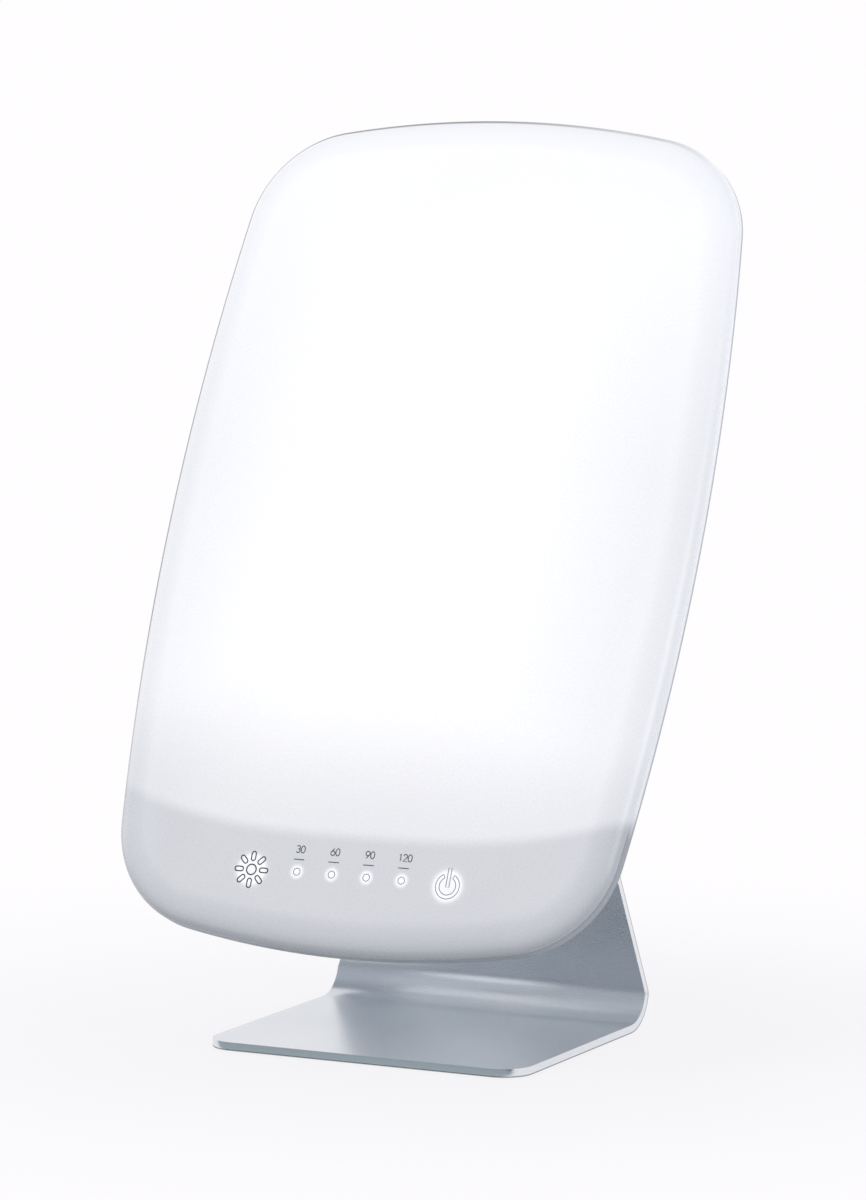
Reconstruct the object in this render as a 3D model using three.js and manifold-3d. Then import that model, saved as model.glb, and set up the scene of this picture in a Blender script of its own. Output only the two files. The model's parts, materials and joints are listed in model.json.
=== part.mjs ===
// Light therapy lamp: an opal panel on a friction hinge, carried by a stand bent from one metal sheet.
// Millimetres, +Z up, front towards -Y. The origin lies on the table, under the middle of the whole lamp.
import * as THREE from 'three';
import { mergeVertices } from 'three/addons/utils/BufferGeometryUtils.js';
import Module from 'manifold-3d';

const wasm = await Module();
wasm.setup();

// Driving sizes of the stand
const baseWidth = 207;
const baseDepth = 153;
const sheet = 5;
const bendRadius = 20;
const baseCornerRadius = 18;
const taperStart = 15;
const uprightTopWidth = 64;
const uprightOverHinge = 16;
const uprightCornerRadius = 12;
const originFromFront = 102;

// Driving sizes of the panel, measured across its rim
const panelWidth = 345;
const panelHeight = 519;
const sideArcRadius = 1663;
const endArcRadius = 593;
const cornerArcRadius = 67;
const wall = 2.5;
const seam = 0.3;

// Front cover
const shoulderWidth = 22;
const shoulderDepth = 12;
const crown = 5;
const lipThickness = 1.4;
const lipReach = 4;

// Rear housing: a rim band, a step, a sloping flank and a flat back
const bandDepth = 7;
const bandStep = 3;
const flankInset = 34;
const flankDepth = 42;
const backInset = 48;
const housingDepth = 50;

// Hinge
const lean = THREE.MathUtils.degToRad(25);
const hingeHeight = 262.5;
const hingeReach = 29.5;
const hingeBehindRim = 64;
const hingeBelowCentre = 14;
const axleRadius = 4;
const earRadius = 9;
const earThickness = 3;
const bracketWidth = 44;
const bracketThickness = 3;
const bracketBelowAxle = 24;
const bracketAboveAxle = 13;
const washerThickness = 1.5;
const axleHeadRadius = 7;
const axleHeadThickness = 3;
const springThickness = 1.6;
const springDish = 0.6;
const nutRadius = 7;
const nutThickness = 5;
const flangeHeight = 64;
const flangeThickness = 3;
const backingThickness = 3;

// Clearances and fineness of the round shapes
const clearance = 0.3;
const overrun = 6;
const sideSteps = 3;
const cornerSteps = 6;
const endSteps = 2;
const roundSides = 16;
const smallSides = 10;
const hexSides = 6;
const bendSteps = 5;
const domeSteps = 3;
const capSteps = 2;
const slotSteps = 1;
const leadSteps = 16;
const thinSides = 8;
const shoulderSteps = 5;
const crownShares = [0.4, 0.75];
const backShares = [1 / 3, 2 / 3];

// Feet
const padRadius = 10;
const padHeight = 1.2;
const padInset = 8;

// Screws
const screwHeadRadius = 3.5;
const screwHeadHeight = 2.2;
const screwRadius = 1.5;
const screwCrownShare = 0.7;
const bracketScrewX = 13;
const bracketScrewLow = 18;
const bracketScrewHigh = 8;
const knuckleScrewX = 11;
const knuckleScrewZ = 25;
const postInset = 16;
const postRadius = 4.5;
const postReach = 6;
const pilotDepth = 10;
const pillarRadius = 7;
const screwSeat = 14;
const housingScrewLength = 15;

// Vent slots in the housing's back: a row below the panel's top and a row over its foot
const ventCount = 9;
const ventSpacing = 9;
const ventWidth = 3;
const ventLength = 34;
const ventCornerRadius = 1.2;
const ventBelowTop = 94.5;
const ventOverFoot = 74.5;

// Lamps: three, each of two tubes side by side
const lampCount = 3;
const lampDepth = 14;
const tubeRadius = 8.75;
const glassWall = 1;
const tubeSpacing = 21;
const lampTopMargin = 53.5;
const lampFootMargin = 54.5;
const capWidth = 40;
const capDepth = 22;
const capHeight = 30;
const capCornerRadius = 6;
const bridgeRadius = 5;
const bridgeBelowTop = 18;
const contactRadius = 1.15;
const contactLength = 6;
const contactSpacing = 8;
const contactRoom = 1;
const socketWidth = 42;
const socketHeight = 15.5;
const socketSideMargin = 61.5;
const railThickness = 2;
const railMargin = 1.2;
const clipHeight = 12;
const clipBelowTop = 35;
const clipWall = 1.4;

// Reflector tray
const trayWall = 1.2;
const trayFront = 8;
const trayBehindTubes = 4.75;
const traySideMargin = 50.5;
const trayOverLamps = 9;
const trayOverCaps = 7;
const trayDraft = 9;
const trayStakeRise = 38;
const trayStakeDrop = 65;
const trayStakeMargin = 4.3;

// Arched wall at the border of the light, by its height over the panel's foot
const baffleHeight = 68;
const baffleRise = 20;
const baffleSideMargin = 16.5;
const baffleThickness = 2;
const baffleBack = 30;
const baffleSteps = 16;

// Touch strip, by its height over the panel's foot
const stripHeight = 44.7;
const keyReach = 63.6;
const indicatorSpacing = 22.6;
const pipeRadius = 1.6;
const contactFaceRadius = 8;
const controlBoardWidth = 164;
const controlBoardHeight = 34;
const boardBehindCover = 5.5;
const boardThickness = 1.6;
const stakeRadius = 1.3;
const stakePostRadius = 3.2;
const stakeProud = 0.8;
const stakeInset = 5;

// Ballast
const ballastInnerMargin = 13.1;
const ballastHeight = 136;
const ballastSideMargin = 46.5;
const ballastOverTrayFoot = 68;
const ballastBackGap = 3.9;
const chokeWidth = 30;
const chokeHeight = 26;
const chokeDepth = 12;
const capacitorRadius = 6;
const capacitorLength = 30;

// Mains inlet
const inletX = -62;
const inletOverFoot = 109.5;
const inletWall = 1.5;
const inletRim = 3;
const inletRimThickness = 1.6;
const pocketWidth = 18;
const pocketHeight = 10.5;
const pocketDepth = 12;
const inletPinRadius = 1.25;
const inletPinSpacing = 8.6;
const inletPinLength = 8;
const inletPinTail = 2;

// Leads
const mainsLeadRadius = 2.6;
const harnessRadius = 1.5;
const ribbonWidth = 11;
const ribbonThickness = 0.9;
const leadBend = 6;
const mainsLeadRise = 15;
const mainsLeadDrop = 10;
const harnessInset = 28;

// Places that follow from the sizes above
const plateTop = padHeight + sheet;
const uprightFront = baseDepth + bendRadius;
const uprightBack = uprightFront + sheet;
const uprightTop = hingeHeight + uprightOverHinge;
const hingeY = uprightFront - hingeReach;
const panelTop = panelHeight / 2;
const panelFoot = -panelTop;
const stripZ = panelFoot + stripHeight;
const coverRoot = -shoulderDepth - crown - overrun;
const housingRoot = housingDepth + overrun;
const controlBoardFront = boardBehindCover + wall - shoulderDepth;
const controlBoardBack = controlBoardFront + boardThickness;
const knuckleWidth = bracketWidth - 2 * (earThickness + washerThickness + 2 * clearance);
const screwClearRadius = screwRadius + clearance;
const axleBore = axleRadius + clearance;
const innerBack = housingDepth - wall;
const lampTop = panelTop - lampTopMargin;
const lampFoot = panelFoot + lampFootMargin;
const capTop = lampFoot + capHeight;
const trayBack = lampDepth + tubeRadius + trayBehindTubes;
const trayHalfWidth = panelWidth / 2 - traySideMargin;
const trayTop = lampTop + trayOverLamps;
const trayFoot = capTop + trayOverCaps;
const trayStakeLow = trayFoot + trayStakeRise;
const trayStakeHigh = trayTop - trayStakeDrop;
const railWidth = panelWidth - 2 * socketSideMargin;
const lampSpacing = (railWidth - socketWidth) / (lampCount - 1);
const ventHalf = ((ventCount - 1) * ventSpacing + ventWidth) / 2;
const trayStakeX = ventHalf + stakePostRadius + trayStakeMargin;
const ballastRight = panelWidth / 2 - ballastSideMargin;
const ballastLeft = knuckleWidth / 2 + ballastInnerMargin;
const ballastFoot = trayFoot + ballastOverTrayFoot;
const ballastTop = ballastFoot + ballastHeight;
const ballastBack = innerBack - ballastBackGap;
const ballastFront = ballastBack - boardThickness;
const inletZ = panelFoot + inletOverFoot;
const fourAcrossShares = [-1.5, -0.5, 0.5, 1.5];

// A point of the model, as x, y, z
const point = (x, y, z) => new THREE.Vector3(x, y, z);

// Closed geometry to a solid, and back to a geometry
function solidOf(geometry) {
  const bare = geometry.clone();
  bare.deleteAttribute('normal');
  bare.deleteAttribute('uv');
  const merged = mergeVertices(bare);
  return new wasm.Manifold(new wasm.Mesh({
    numProp: 3,
    vertProperties: new Float32Array(merged.attributes.position.array),
    triVerts: new Uint32Array(merged.index.array),
  }));
}

function geometryOf(solid) {
  const mesh = solid.getMesh();
  const geometry = new THREE.BufferGeometry();
  geometry.setAttribute('position', new THREE.BufferAttribute(mesh.vertProperties, 3));
  geometry.setIndex(new THREE.BufferAttribute(mesh.triVerts, 1));
  geometry.computeVertexNormals();
  return geometry;
}

// A box between two corners
function block(low, high) {
  const size = high.clone().sub(low);
  const middle = low.clone().add(high).divideScalar(2);
  return solidOf(new THREE.BoxGeometry(size.x, size.y, size.z).translate(middle.x, middle.y, middle.z));
}

// A turned piece: the profile is a list of [radius, distance], laid from a point along a direction
function turned(profile, from, direction, sides = roundSides) {
  const points = profile.map(([radius, along]) => new THREE.Vector2(radius, along));
  const turn = new THREE.Quaternion().setFromUnitVectors(point(0, 1, 0), direction.clone().normalize());
  const geometry = new THREE.LatheGeometry(points, sides).applyQuaternion(turn);
  return solidOf(geometry.translate(from.x, from.y, from.z));
}

// A round rod between two points
function rod(radius, from, to, sides = smallSides) {
  const direction = to.clone().sub(from);
  const length = direction.length();
  return turned([[0, 0], [radius, 0], [radius, length], [0, length]], from, direction, sides);
}

// A flat outline with rounded corners, each corner an [x, y, radius], anticlockwise
function outline(corners) {
  const shape = new THREE.Shape();
  const count = corners.length;
  const place = i => new THREE.Vector2(corners[i % count][0], corners[i % count][1]);
  for (let i = 0; i < count; i += 1) {
    const here = place(i);
    const back = place(i + count - 1).sub(here).normalize();
    const ahead = place(i + 1).sub(here).normalize();
    const radius = corners[i][2] ?? 0;
    const half = Math.acos(THREE.MathUtils.clamp(back.dot(ahead), -1, 1)) / 2;
    const reach = radius / Math.tan(half);
    const start = here.clone().addScaledVector(back, reach);
    if (i === 0) {
      shape.moveTo(start.x, start.y);
    } else {
      shape.lineTo(start.x, start.y);
    }
    if (radius > 0) {
      const end = here.clone().addScaledVector(ahead, reach);
      const middle = back.clone().add(ahead).normalize();
      const centre = here.clone().addScaledVector(middle, radius / Math.sin(half));
      const startAngle = Math.atan2(start.y - centre.y, start.x - centre.x);
      const endAngle = Math.atan2(end.y - centre.y, end.x - centre.x);
      shape.absarc(centre.x, centre.y, radius, startAngle, endAngle, back.cross(ahead) > 0);
    }
  }
  shape.closePath();
  return shape;
}

// A rectangle about a middle, with rounded corners
function rectangle(x, y, width, height, radius = 0) {
  return outline([
    [x - width / 2, y - height / 2, radius],
    [x + width / 2, y - height / 2, radius],
    [x + width / 2, y + height / 2, radius],
    [x - width / 2, y + height / 2, radius],
  ]);
}

const extruded = (shape, depth, steps) =>
  new THREE.ExtrudeGeometry(shape, { depth, bevelEnabled: false, curveSegments: steps });

// An outline in y and z, run along x
function alongX(shape, from, to, steps = bendSteps) {
  const turn = new THREE.Matrix4().makeBasis(point(0, 1, 0), point(0, 0, 1), point(1, 0, 0));
  return solidOf(extruded(shape, to - from, steps).applyMatrix4(turn).translate(from, 0, 0));
}

// An outline in x and z, run along y
function alongY(shape, from, to, steps = bendSteps) {
  return solidOf(extruded(shape, to - from, steps).rotateX(Math.PI / 2).translate(0, to, 0));
}

// An outline in x and y, run along z
function alongZ(shape, from, to, steps = bendSteps) {
  return solidOf(extruded(shape, to - from, steps).translate(0, 0, from));
}

// A tube or a strip along a smooth route
function lead(shape, route, steps) {
  const path = new THREE.CatmullRomCurve3(route, false, 'centripetal');
  return solidOf(new THREE.ExtrudeGeometry(shape, { steps, extrudePath: path, bevelEnabled: false }));
}

function roundSection(radius, sides) {
  const shape = new THREE.Shape();
  for (let i = 0; i < sides; i += 1) {
    const angle = (i / sides) * 2 * Math.PI;
    const at = [radius * Math.cos(angle), radius * Math.sin(angle)];
    if (i === 0) {
      shape.moveTo(...at);
    } else {
      shape.lineTo(...at);
    }
  }
  shape.closePath();
  return shape;
}

// The panel's rim is three arcs in each quarter: a long side arc, a corner arc and an end arc.
// The arcs share their centres at every inset, so two insets lie a steady distance apart.
const sideCentre = new THREE.Vector2(panelWidth / 2 - sideArcRadius, 0);
const endCentre = new THREE.Vector2(0, panelHeight / 2 - endArcRadius);
const cornerCentre = cornerCentreOf(sideArcRadius - cornerArcRadius, endArcRadius - cornerArcRadius);

function cornerCentreOf(fromSide, fromEnd) {
  const across = endCentre.clone().sub(sideCentre);
  const apart = across.length();
  const along = (fromSide ** 2 - fromEnd ** 2 + apart ** 2) / (2 * apart);
  const beside = Math.sqrt(fromSide ** 2 - along ** 2);
  const unit = across.divideScalar(apart);
  return sideCentre.clone().addScaledVector(unit, along)
    .add(new THREE.Vector2(-unit.y, unit.x).multiplyScalar(beside));
}

const sideAngle = cornerCentre.clone().sub(sideCentre).angle();
const endAngle = cornerCentre.clone().sub(endCentre).angle();

function rimQuarter(inset) {
  const arcs = [
    [sideCentre, sideArcRadius, 0, sideAngle, sideSteps],
    [cornerCentre, cornerArcRadius, sideAngle, endAngle, cornerSteps],
    [endCentre, endArcRadius, endAngle, Math.PI / 2, endSteps],
  ];
  const points = [];
  for (const [centre, radius, from, to, steps] of arcs) {
    for (let i = 0; i < steps; i += 1) {
      const angle = from + ((to - from) * i) / steps;
      const reach = radius - inset;
      points.push([centre.x + reach * Math.cos(angle), centre.y + reach * Math.sin(angle)]);
    }
  }
  return points;
}

// The whole rim at an inset, anticlockwise as seen from the front
function rim(inset) {
  const quarter = rimQuarter(inset);
  const top = [0, panelHeight / 2 - inset];
  const right = [...quarter, top];
  const left = quarter.slice(1).reverse().map(([x, z]) => [-x, z]);
  const upper = [...right, ...left, [-quarter[0][0], 0]];
  const lower = upper.slice(1, -1).reverse().map(([x, z]) => [x, -z]);
  return [...upper, ...lower];
}

// A closed body through rings of equally many points, from the front ring to the back ring
function loft(rings, frontDepth = rings[0].depth) {
  const count = rings[0].points.length;
  const positions = [];
  for (const { points, depth } of rings) {
    points.forEach(([x, z]) => positions.push(x, depth, z));
  }
  const front = positions.length / 3;
  const middle = rings.map(ring => new THREE.Box2().setFromPoints(
    ring.points.map(([x, z]) => new THREE.Vector2(x, z))).getCenter(new THREE.Vector2()));
  positions.push(middle[0].x, frontDepth, middle[0].y);
  positions.push(middle.at(-1).x, rings.at(-1).depth, middle.at(-1).y);
  const faces = [];
  const last = (rings.length - 1) * count;
  for (let i = 0; i < count; i += 1) {
    const next = (i + 1) % count;
    faces.push(front, i, next);
    for (let base = 0; base < last; base += count) {
      faces.push(base + i, base + count + i, base + next);
      faces.push(base + next, base + count + i, base + count + next);
    }
    faces.push(front + 1, last + next, last + i);
  }
  const geometry = new THREE.BufferGeometry();
  geometry.setAttribute('position', new THREE.Float32BufferAttribute(positions, 3));
  geometry.setIndex(faces);
  return solidOf(geometry);
}

// The cover's outer form drawn in by an offset, with a straight skirt back to a depth
function coverForm(offset, skirtDepth) {
  const edge = rim(shoulderWidth);
  const crownDepth = share => -(shoulderDepth - offset) - crown * (1 - share ** 2);
  const rings = crownShares.map(share => ({
    points: edge.map(([x, z]) => [x * share, z * share]),
    depth: crownDepth(share),
  }));
  for (let i = shoulderSteps; i >= 0; i -= 1) {
    const angle = (i / shoulderSteps) * (Math.PI / 2);
    const inset = offset + (shoulderWidth - offset) * (1 - Math.cos(angle));
    const depth = -seam - (shoulderDepth - seam - offset) * Math.sin(angle);
    rings.push({ points: rim(inset), depth });
  }
  if (skirtDepth > -seam) {
    rings.push({ points: rim(offset), depth: skirtDepth });
  }
  return loft(rings, crownDepth(0));
}

// The housing's outer form drawn in by an offset, starting at a depth
const flankSlope = (flankInset - bandStep) / (flankDepth - bandDepth);

function housingForm(offset, startDepth = 0) {
  const drawIn = offset * Math.hypot(1, flankSlope);
  const flankAt = depth => bandStep + (depth - bandDepth) * flankSlope + drawIn;
  const knee = bandDepth - offset;
  const back = housingDepth - offset;
  const bendDepth = flankDepth - offset;
  const rings = [
    { points: rim(offset), depth: startDepth },
    { points: rim(offset), depth: knee },
    { points: rim(flankAt(knee)), depth: knee },
    { points: rim(flankAt(bendDepth)), depth: bendDepth },
  ];
  const control = flankAt(back);
  for (const share of backShares) {
    const inset = (1 - share) ** 2 * flankAt(bendDepth) + 2 * share * (1 - share) * control
      + share ** 2 * backInset;
    const depth = (1 - share) ** 2 * bendDepth + (1 - (1 - share) ** 2) * back;
    rings.push({ points: rim(inset), depth });
  }
  rings.push({ points: rim(backInset), depth: back });
  return loft(rings);
}

// A band that follows the rim between two insets and two depths
function rimBand(outer, inner, from, to) {
  const ring = (inset, depth) => ({ points: rim(inset), depth });
  const body = loft([ring(outer, from), ring(outer, to)]);
  return body.subtract(loft([ring(inner, from - overrun), ring(inner, to + overrun)]));
}

// All the room inside the closed head, less a gap to its walls and to the cover's lip
function headRoom(gap) {
  const room = coverForm(wall + gap, 0).add(housingForm(wall + gap, -seam));
  const lipInner = wall + seam + lipThickness + gap;
  return room.subtract(rimBand(0, lipInner, -lipReach - gap, lipReach + gap));
}

// Screw places of the head: one at each corner and one at the middle of each side
function screwPlaces() {
  const angle = (sideAngle + endAngle) / 2;
  const reach = cornerArcRadius - postInset;
  const x = cornerCentre.x + reach * Math.cos(angle);
  const z = cornerCentre.y + reach * Math.sin(angle);
  const side = panelWidth / 2 - postInset;
  return [[x, z], [-x, z], [-side, 0], [-x, -z], [x, -z], [side, 0]];
}

// A pan-head screw whose head sits at a point and whose shank runs along a direction
function screw(seat, direction, length, headRadius = screwHeadRadius, shankRadius = screwRadius) {
  const crownRadius = headRadius * screwCrownShare;
  const profile = [
    [0, -screwHeadHeight], [crownRadius, -screwHeadHeight], [headRadius, -screwHeadHeight / 2],
    [headRadius, 0], [shankRadius, 0], [shankRadius, length], [0, length],
  ];
  return turned(profile, seat, direction, smallSides);
}

// Materials
const finish = (color, roughness, metalness = 0) =>
  new THREE.MeshStandardMaterial({ color, roughness, metalness });
const aluminium = () => finish(0xb4b9c3, 0.32, 1);
const steel = () => finish(0xc9ccd0, 0.35, 1);
const opal = () => finish(0xf7f8fb, 0.25);
const whitePlastic = () => finish(0xe4e6ea, 0.45);
const rubber = () => finish(0x2b2c2e, 0.9);
const enamel = () => finish(0xffffff, 0.5, 0.1);
const glass = () => finish(0xfdfdfb, 0.15);
const capPlastic = () => finish(0xf0efe9, 0.5);
const circuitBoard = () => finish(0x2f6b45, 0.6);
const blackPlastic = () => finish(0x1d1e20, 0.5);
const clearPlastic = () => finish(0xe8f0f4, 0.1);
const foil = () => finish(0xb97b4f, 0.4, 1);
const brass = () => finish(0xc7a75a, 0.3, 1);

function part(name, solid, material, group) {
  const mesh = new THREE.Mesh(geometryOf(solid), material);
  mesh.name = name;
  group.add(mesh);
}

const lamp = new THREE.Group();
const stand = new THREE.Group();
const hinge = new THREE.Group();
const head = new THREE.Group();
lamp.add(stand, hinge);
hinge.add(head);
lamp.position.y = -originFromFront;
hinge.position.set(0, hingeY, hingeHeight);
hinge.rotation.x = -lean;
head.position.set(0, -hingeBehindRim, hingeBelowCentre);

// Stand: one sheet, cut to its outline, bent once
function standSheet() {
  const bendY = baseDepth;
  const bendZ = plateTop + bendRadius;
  const side = new THREE.Shape();
  side.moveTo(0, padHeight);
  side.lineTo(bendY, padHeight);
  side.absarc(bendY, bendZ, bendRadius + sheet, -Math.PI / 2, 0, false);
  side.lineTo(uprightBack, uprightTop);
  side.lineTo(uprightFront, uprightTop);
  side.absarc(bendY, bendZ, bendRadius, 0, -Math.PI / 2, true);
  side.lineTo(0, plateTop);
  side.closePath();
  const half = baseWidth / 2;
  const topHalf = uprightTopWidth / 2;
  const taperZ = plateTop + taperStart;
  const front = outline([
    [-half, -overrun], [half, -overrun],
    [half, taperZ], [topHalf, uprightTop, uprightCornerRadius],
    [-topHalf, uprightTop, uprightCornerRadius], [-half, taperZ],
  ]);
  const plan = outline([
    [-half, 0, baseCornerRadius], [half, 0, baseCornerRadius],
    [half, uprightBack + overrun], [-half, uprightBack + overrun],
  ]);
  let body = alongX(side, -half - overrun, half + overrun);
  body = body.intersect(alongY(front, -overrun, uprightBack + overrun));
  body = body.intersect(alongZ(plan, -overrun, uprightTop + overrun));
  for (const [x, z] of bracketScrewPlaces()) {
    body = body.subtract(rod(screwClearRadius, point(x, uprightFront - overrun, z),
      point(x, uprightBack + overrun, z)));
  }
  return body;
}

function bracketScrewPlaces() {
  const low = hingeHeight - bracketScrewLow;
  const high = hingeHeight + bracketScrewHigh;
  return [[-bracketScrewX, low], [bracketScrewX, low], [-bracketScrewX, high], [bracketScrewX, high]];
}

part('stand_plate', standSheet(), aluminium(), stand);

const padX = baseWidth / 2 - padInset - padRadius;
const padPlaces = [
  [-padX, padInset + padRadius], [padX, padInset + padRadius],
  [-padX, baseDepth - padRadius], [padX, baseDepth - padRadius],
];
padPlaces.forEach(([x, y], i) => {
  const pad = rod(padRadius, point(x, y, 0), point(x, y, padHeight), roundSides);
  part(`foot_pad_${i + 1}`, pad, rubber(), stand);
});

// Hinge bracket: a plate on the upright with two ears that carry the axle
function hingeBracket() {
  const plateFront = uprightFront - bracketThickness;
  const low = hingeHeight - bracketBelowAxle;
  const high = hingeHeight + bracketAboveAxle;
  const half = bracketWidth / 2;
  const ear = new THREE.Shape();
  ear.moveTo(uprightFront, low);
  ear.lineTo(uprightFront, high);
  ear.lineTo(plateFront, high);
  ear.lineTo(hingeY, hingeHeight + earRadius);
  ear.absarc(hingeY, hingeHeight, earRadius, Math.PI / 2, Math.PI * 1.5, false);
  ear.lineTo(plateFront, low);
  ear.closePath();
  let body = block(point(-half, plateFront, low), point(half, uprightFront, high));
  body = body.add(alongX(ear, -half, -half + earThickness)).add(alongX(ear, half - earThickness, half));
  body = body.subtract(rod(axleBore, point(-half - overrun, hingeY, hingeHeight),
    point(half + overrun, hingeY, hingeHeight), roundSides));
  for (const [x, z] of bracketScrewPlaces()) {
    body = body.subtract(rod(screwClearRadius, point(x, plateFront - overrun, z),
      point(x, uprightFront + overrun, z)));
  }
  return body;
}

part('hinge_bracket', hingeBracket(), steel(), stand);
bracketScrewPlaces().forEach(([x, z], i) => {
  const seat = point(x, uprightBack + clearance, z);
  const length = sheet + bracketThickness + clearance;
  part(`bracket_screw_${i + 1}`, screw(seat, point(0, -1, 0), length), steel(), stand);
});

// Axle with its head on the left, and disc spring and lock nut on the right
const earOuter = bracketWidth / 2;
const earInner = earOuter - earThickness;
const springX = earOuter + clearance;
const nutX = springX + springThickness + clearance;
const axleEnd = nutX + nutThickness;

function hingeAxle() {
  const profile = [
    [0, -axleHeadThickness], [axleHeadRadius, -axleHeadThickness], [axleHeadRadius, 0],
    [axleRadius, 0], [axleRadius, axleEnd + earOuter + clearance], [0, axleEnd + earOuter + clearance],
  ];
  return turned(profile, point(-earOuter - clearance, hingeY, hingeHeight), point(1, 0, 0));
}

function ringAt(x, inner, outer, thickness, dish = 0) {
  const profile = [
    [inner, dish], [outer, 0], [outer, thickness - dish], [inner, thickness], [inner, dish],
  ];
  return turned(profile, point(x, hingeY, hingeHeight), point(1, 0, 0));
}

part('hinge_axle', hingeAxle(), steel(), stand);
const washerX = earInner - clearance - washerThickness;
part('friction_washer_1', ringAt(-washerX - washerThickness, axleBore, earRadius, washerThickness),
  blackPlastic(), stand);
part('friction_washer_2', ringAt(washerX, axleBore, earRadius, washerThickness), blackPlastic(), stand);
part('disc_spring', ringAt(springX, axleBore, earRadius, springThickness, springDish), steel(), stand);

function lockNut() {
  const start = point(nutX, hingeY, hingeHeight);
  const end = point(nutX + nutThickness, hingeY, hingeHeight);
  const bore = rod(axleBore, point(nutX - overrun, hingeY, hingeHeight),
    point(nutX + nutThickness + overrun, hingeY, hingeHeight), roundSides);
  return rod(nutRadius, start, end, hexSides).subtract(bore);
}

part('lock_nut', lockNut(), steel(), stand);

// Knuckle on the housing's back, between the bracket's ears
const knuckleFront = housingDepth + clearance;
const knuckleScrewPlaces = [-1, 1].flatMap(side =>
  [-1, 1].map(end => [side * knuckleScrewX, -hingeBelowCentre + end * knuckleScrewZ]));

function hingeKnuckle() {
  const half = knuckleWidth / 2;
  const flangeBack = knuckleFront + flangeThickness;
  const low = -hingeBelowCentre - flangeHeight / 2;
  const high = -hingeBelowCentre + flangeHeight / 2;
  const web = new THREE.Shape();
  web.moveTo(knuckleFront, -hingeBelowCentre - earRadius);
  web.lineTo(hingeBehindRim, -hingeBelowCentre - earRadius);
  web.absarc(hingeBehindRim, -hingeBelowCentre, earRadius, -Math.PI / 2, Math.PI / 2, false);
  web.lineTo(knuckleFront, -hingeBelowCentre + earRadius);
  web.closePath();
  let body = block(point(-half, knuckleFront, low), point(half, flangeBack, high));
  body = body.add(alongX(web, -half, half));
  body = body.subtract(rod(axleBore, point(-half - overrun, hingeBehindRim, -hingeBelowCentre),
    point(half + overrun, hingeBehindRim, -hingeBelowCentre), roundSides));
  for (const [x, z] of knuckleScrewPlaces) {
    body = body.subtract(rod(screwClearRadius, point(x, knuckleFront - overrun, z),
      point(x, flangeBack + overrun, z)));
  }
  return body;
}

part('hinge_knuckle', hingeKnuckle(), steel(), head);
const knuckleScrewSeat = knuckleFront + flangeThickness + clearance;
const backingBack = innerBack - clearance;
const backingFront = backingBack - backingThickness;
knuckleScrewPlaces.forEach(([x, z], i) => {
  const length = knuckleScrewSeat - backingFront;
  const seat = point(x, knuckleScrewSeat, z);
  part(`knuckle_screw_${i + 1}`, screw(seat, point(0, -1, 0), length), steel(), head);
});

function backingPlate() {
  const half = knuckleWidth / 2;
  const low = -hingeBelowCentre - flangeHeight / 2;
  const high = -hingeBelowCentre + flangeHeight / 2;
  let body = block(point(-half, backingFront, low), point(half, backingBack, high));
  for (const [x, z] of knuckleScrewPlaces) {
    body = body.subtract(rod(screwClearRadius, point(x, backingFront - overrun, z),
      point(x, backingBack + overrun, z)));
  }
  return body;
}

part('backing_plate', backingPlate(), steel(), head);

// Places of the pieces that are staked to the cover and to the housing
const controlBoardLow = stripZ - controlBoardHeight / 2;
const controlBoardHigh = stripZ + controlBoardHeight / 2;
const controlStakes = [-1, 1].flatMap(side => [controlBoardLow + stakeInset, controlBoardHigh - stakeInset]
  .map(z => [side * (controlBoardWidth / 2 - stakeInset), z]));
const ballastStakes = [ballastLeft + stakeInset, ballastRight - stakeInset].flatMap(x =>
  [ballastFoot + stakeInset, ballastTop - stakeInset].map(z => [x, z]));
const trayStakes = [-1, 1].flatMap(side =>
  [[side * lampSpacing, trayStakeLow], [side * trayStakeX, trayStakeHigh]]);
const socketTop = lampFoot - clearance;
const socketLow = socketTop - socketHeight;
const railFront = lampDepth + capDepth / 2 + clearance;
const railBack = railFront + railThickness;
const railLow = socketLow - railMargin;
const railTop = socketTop + railMargin;
const railStakes = [-1, 1].map(side => [side * lampSpacing / 2, railLow + stakeInset]);
const stakeHole = stakeRadius + clearance;

// A post that ends a gap before a seat, with a thinner stake that goes on through the seated piece
function stakedPost(x, z, root, seat, far) {
  const side = Math.sign(seat - root);
  const shoulder = seat - side * clearance;
  const post = rod(stakePostRadius, point(x, root, z), point(x, shoulder, z));
  const near = shoulder - side * stakeProud;
  const stake = rod(stakeRadius, point(x, near, z), point(x, far + side * stakeProud, z));
  return { post, stake };
}

function withStakes(body, places, root, seat, far, inside) {
  return places.reduce((sum, [x, z]) => {
    const { post, stake } = stakedPost(x, z, root, seat, far);
    return sum.add(post.intersect(inside)).add(stake);
  }, body);
}

function drilled(body, places, radius, from, to) {
  return places.reduce((rest, [x, z]) => rest.subtract(
    rod(radius, point(x, from - overrun, z), point(x, to + overrun, z))), body);
}

// Front cover: opal shell with a lip, screw posts and the stakes of the control board
function frontCover() {
  let body = coverForm(0, -seam).subtract(coverForm(wall, overrun));
  body = body.add(rimBand(wall + seam, wall + seam + lipThickness, -lipReach, lipReach));
  const inside = coverForm(wall / 2, overrun + postReach);
  for (const [x, z] of screwPlaces()) {
    const post = rod(postRadius, point(x, coverRoot, z), point(x, postReach, z)).intersect(inside);
    body = body.add(post).subtract(
      rod(screwClearRadius, point(x, postReach - pilotDepth, z), point(x, postReach + overrun, z)));
  }
  return withStakes(body, controlStakes, coverRoot, controlBoardFront, controlBoardBack, inside);
}

// Rear housing: shell with screw pillars, vent slots, the inlet's window and stakes for what it carries
const inletBodyWidth = pocketWidth + 2 * inletWall;
const inletBodyHeight = pocketHeight + 2 * inletWall;

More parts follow.
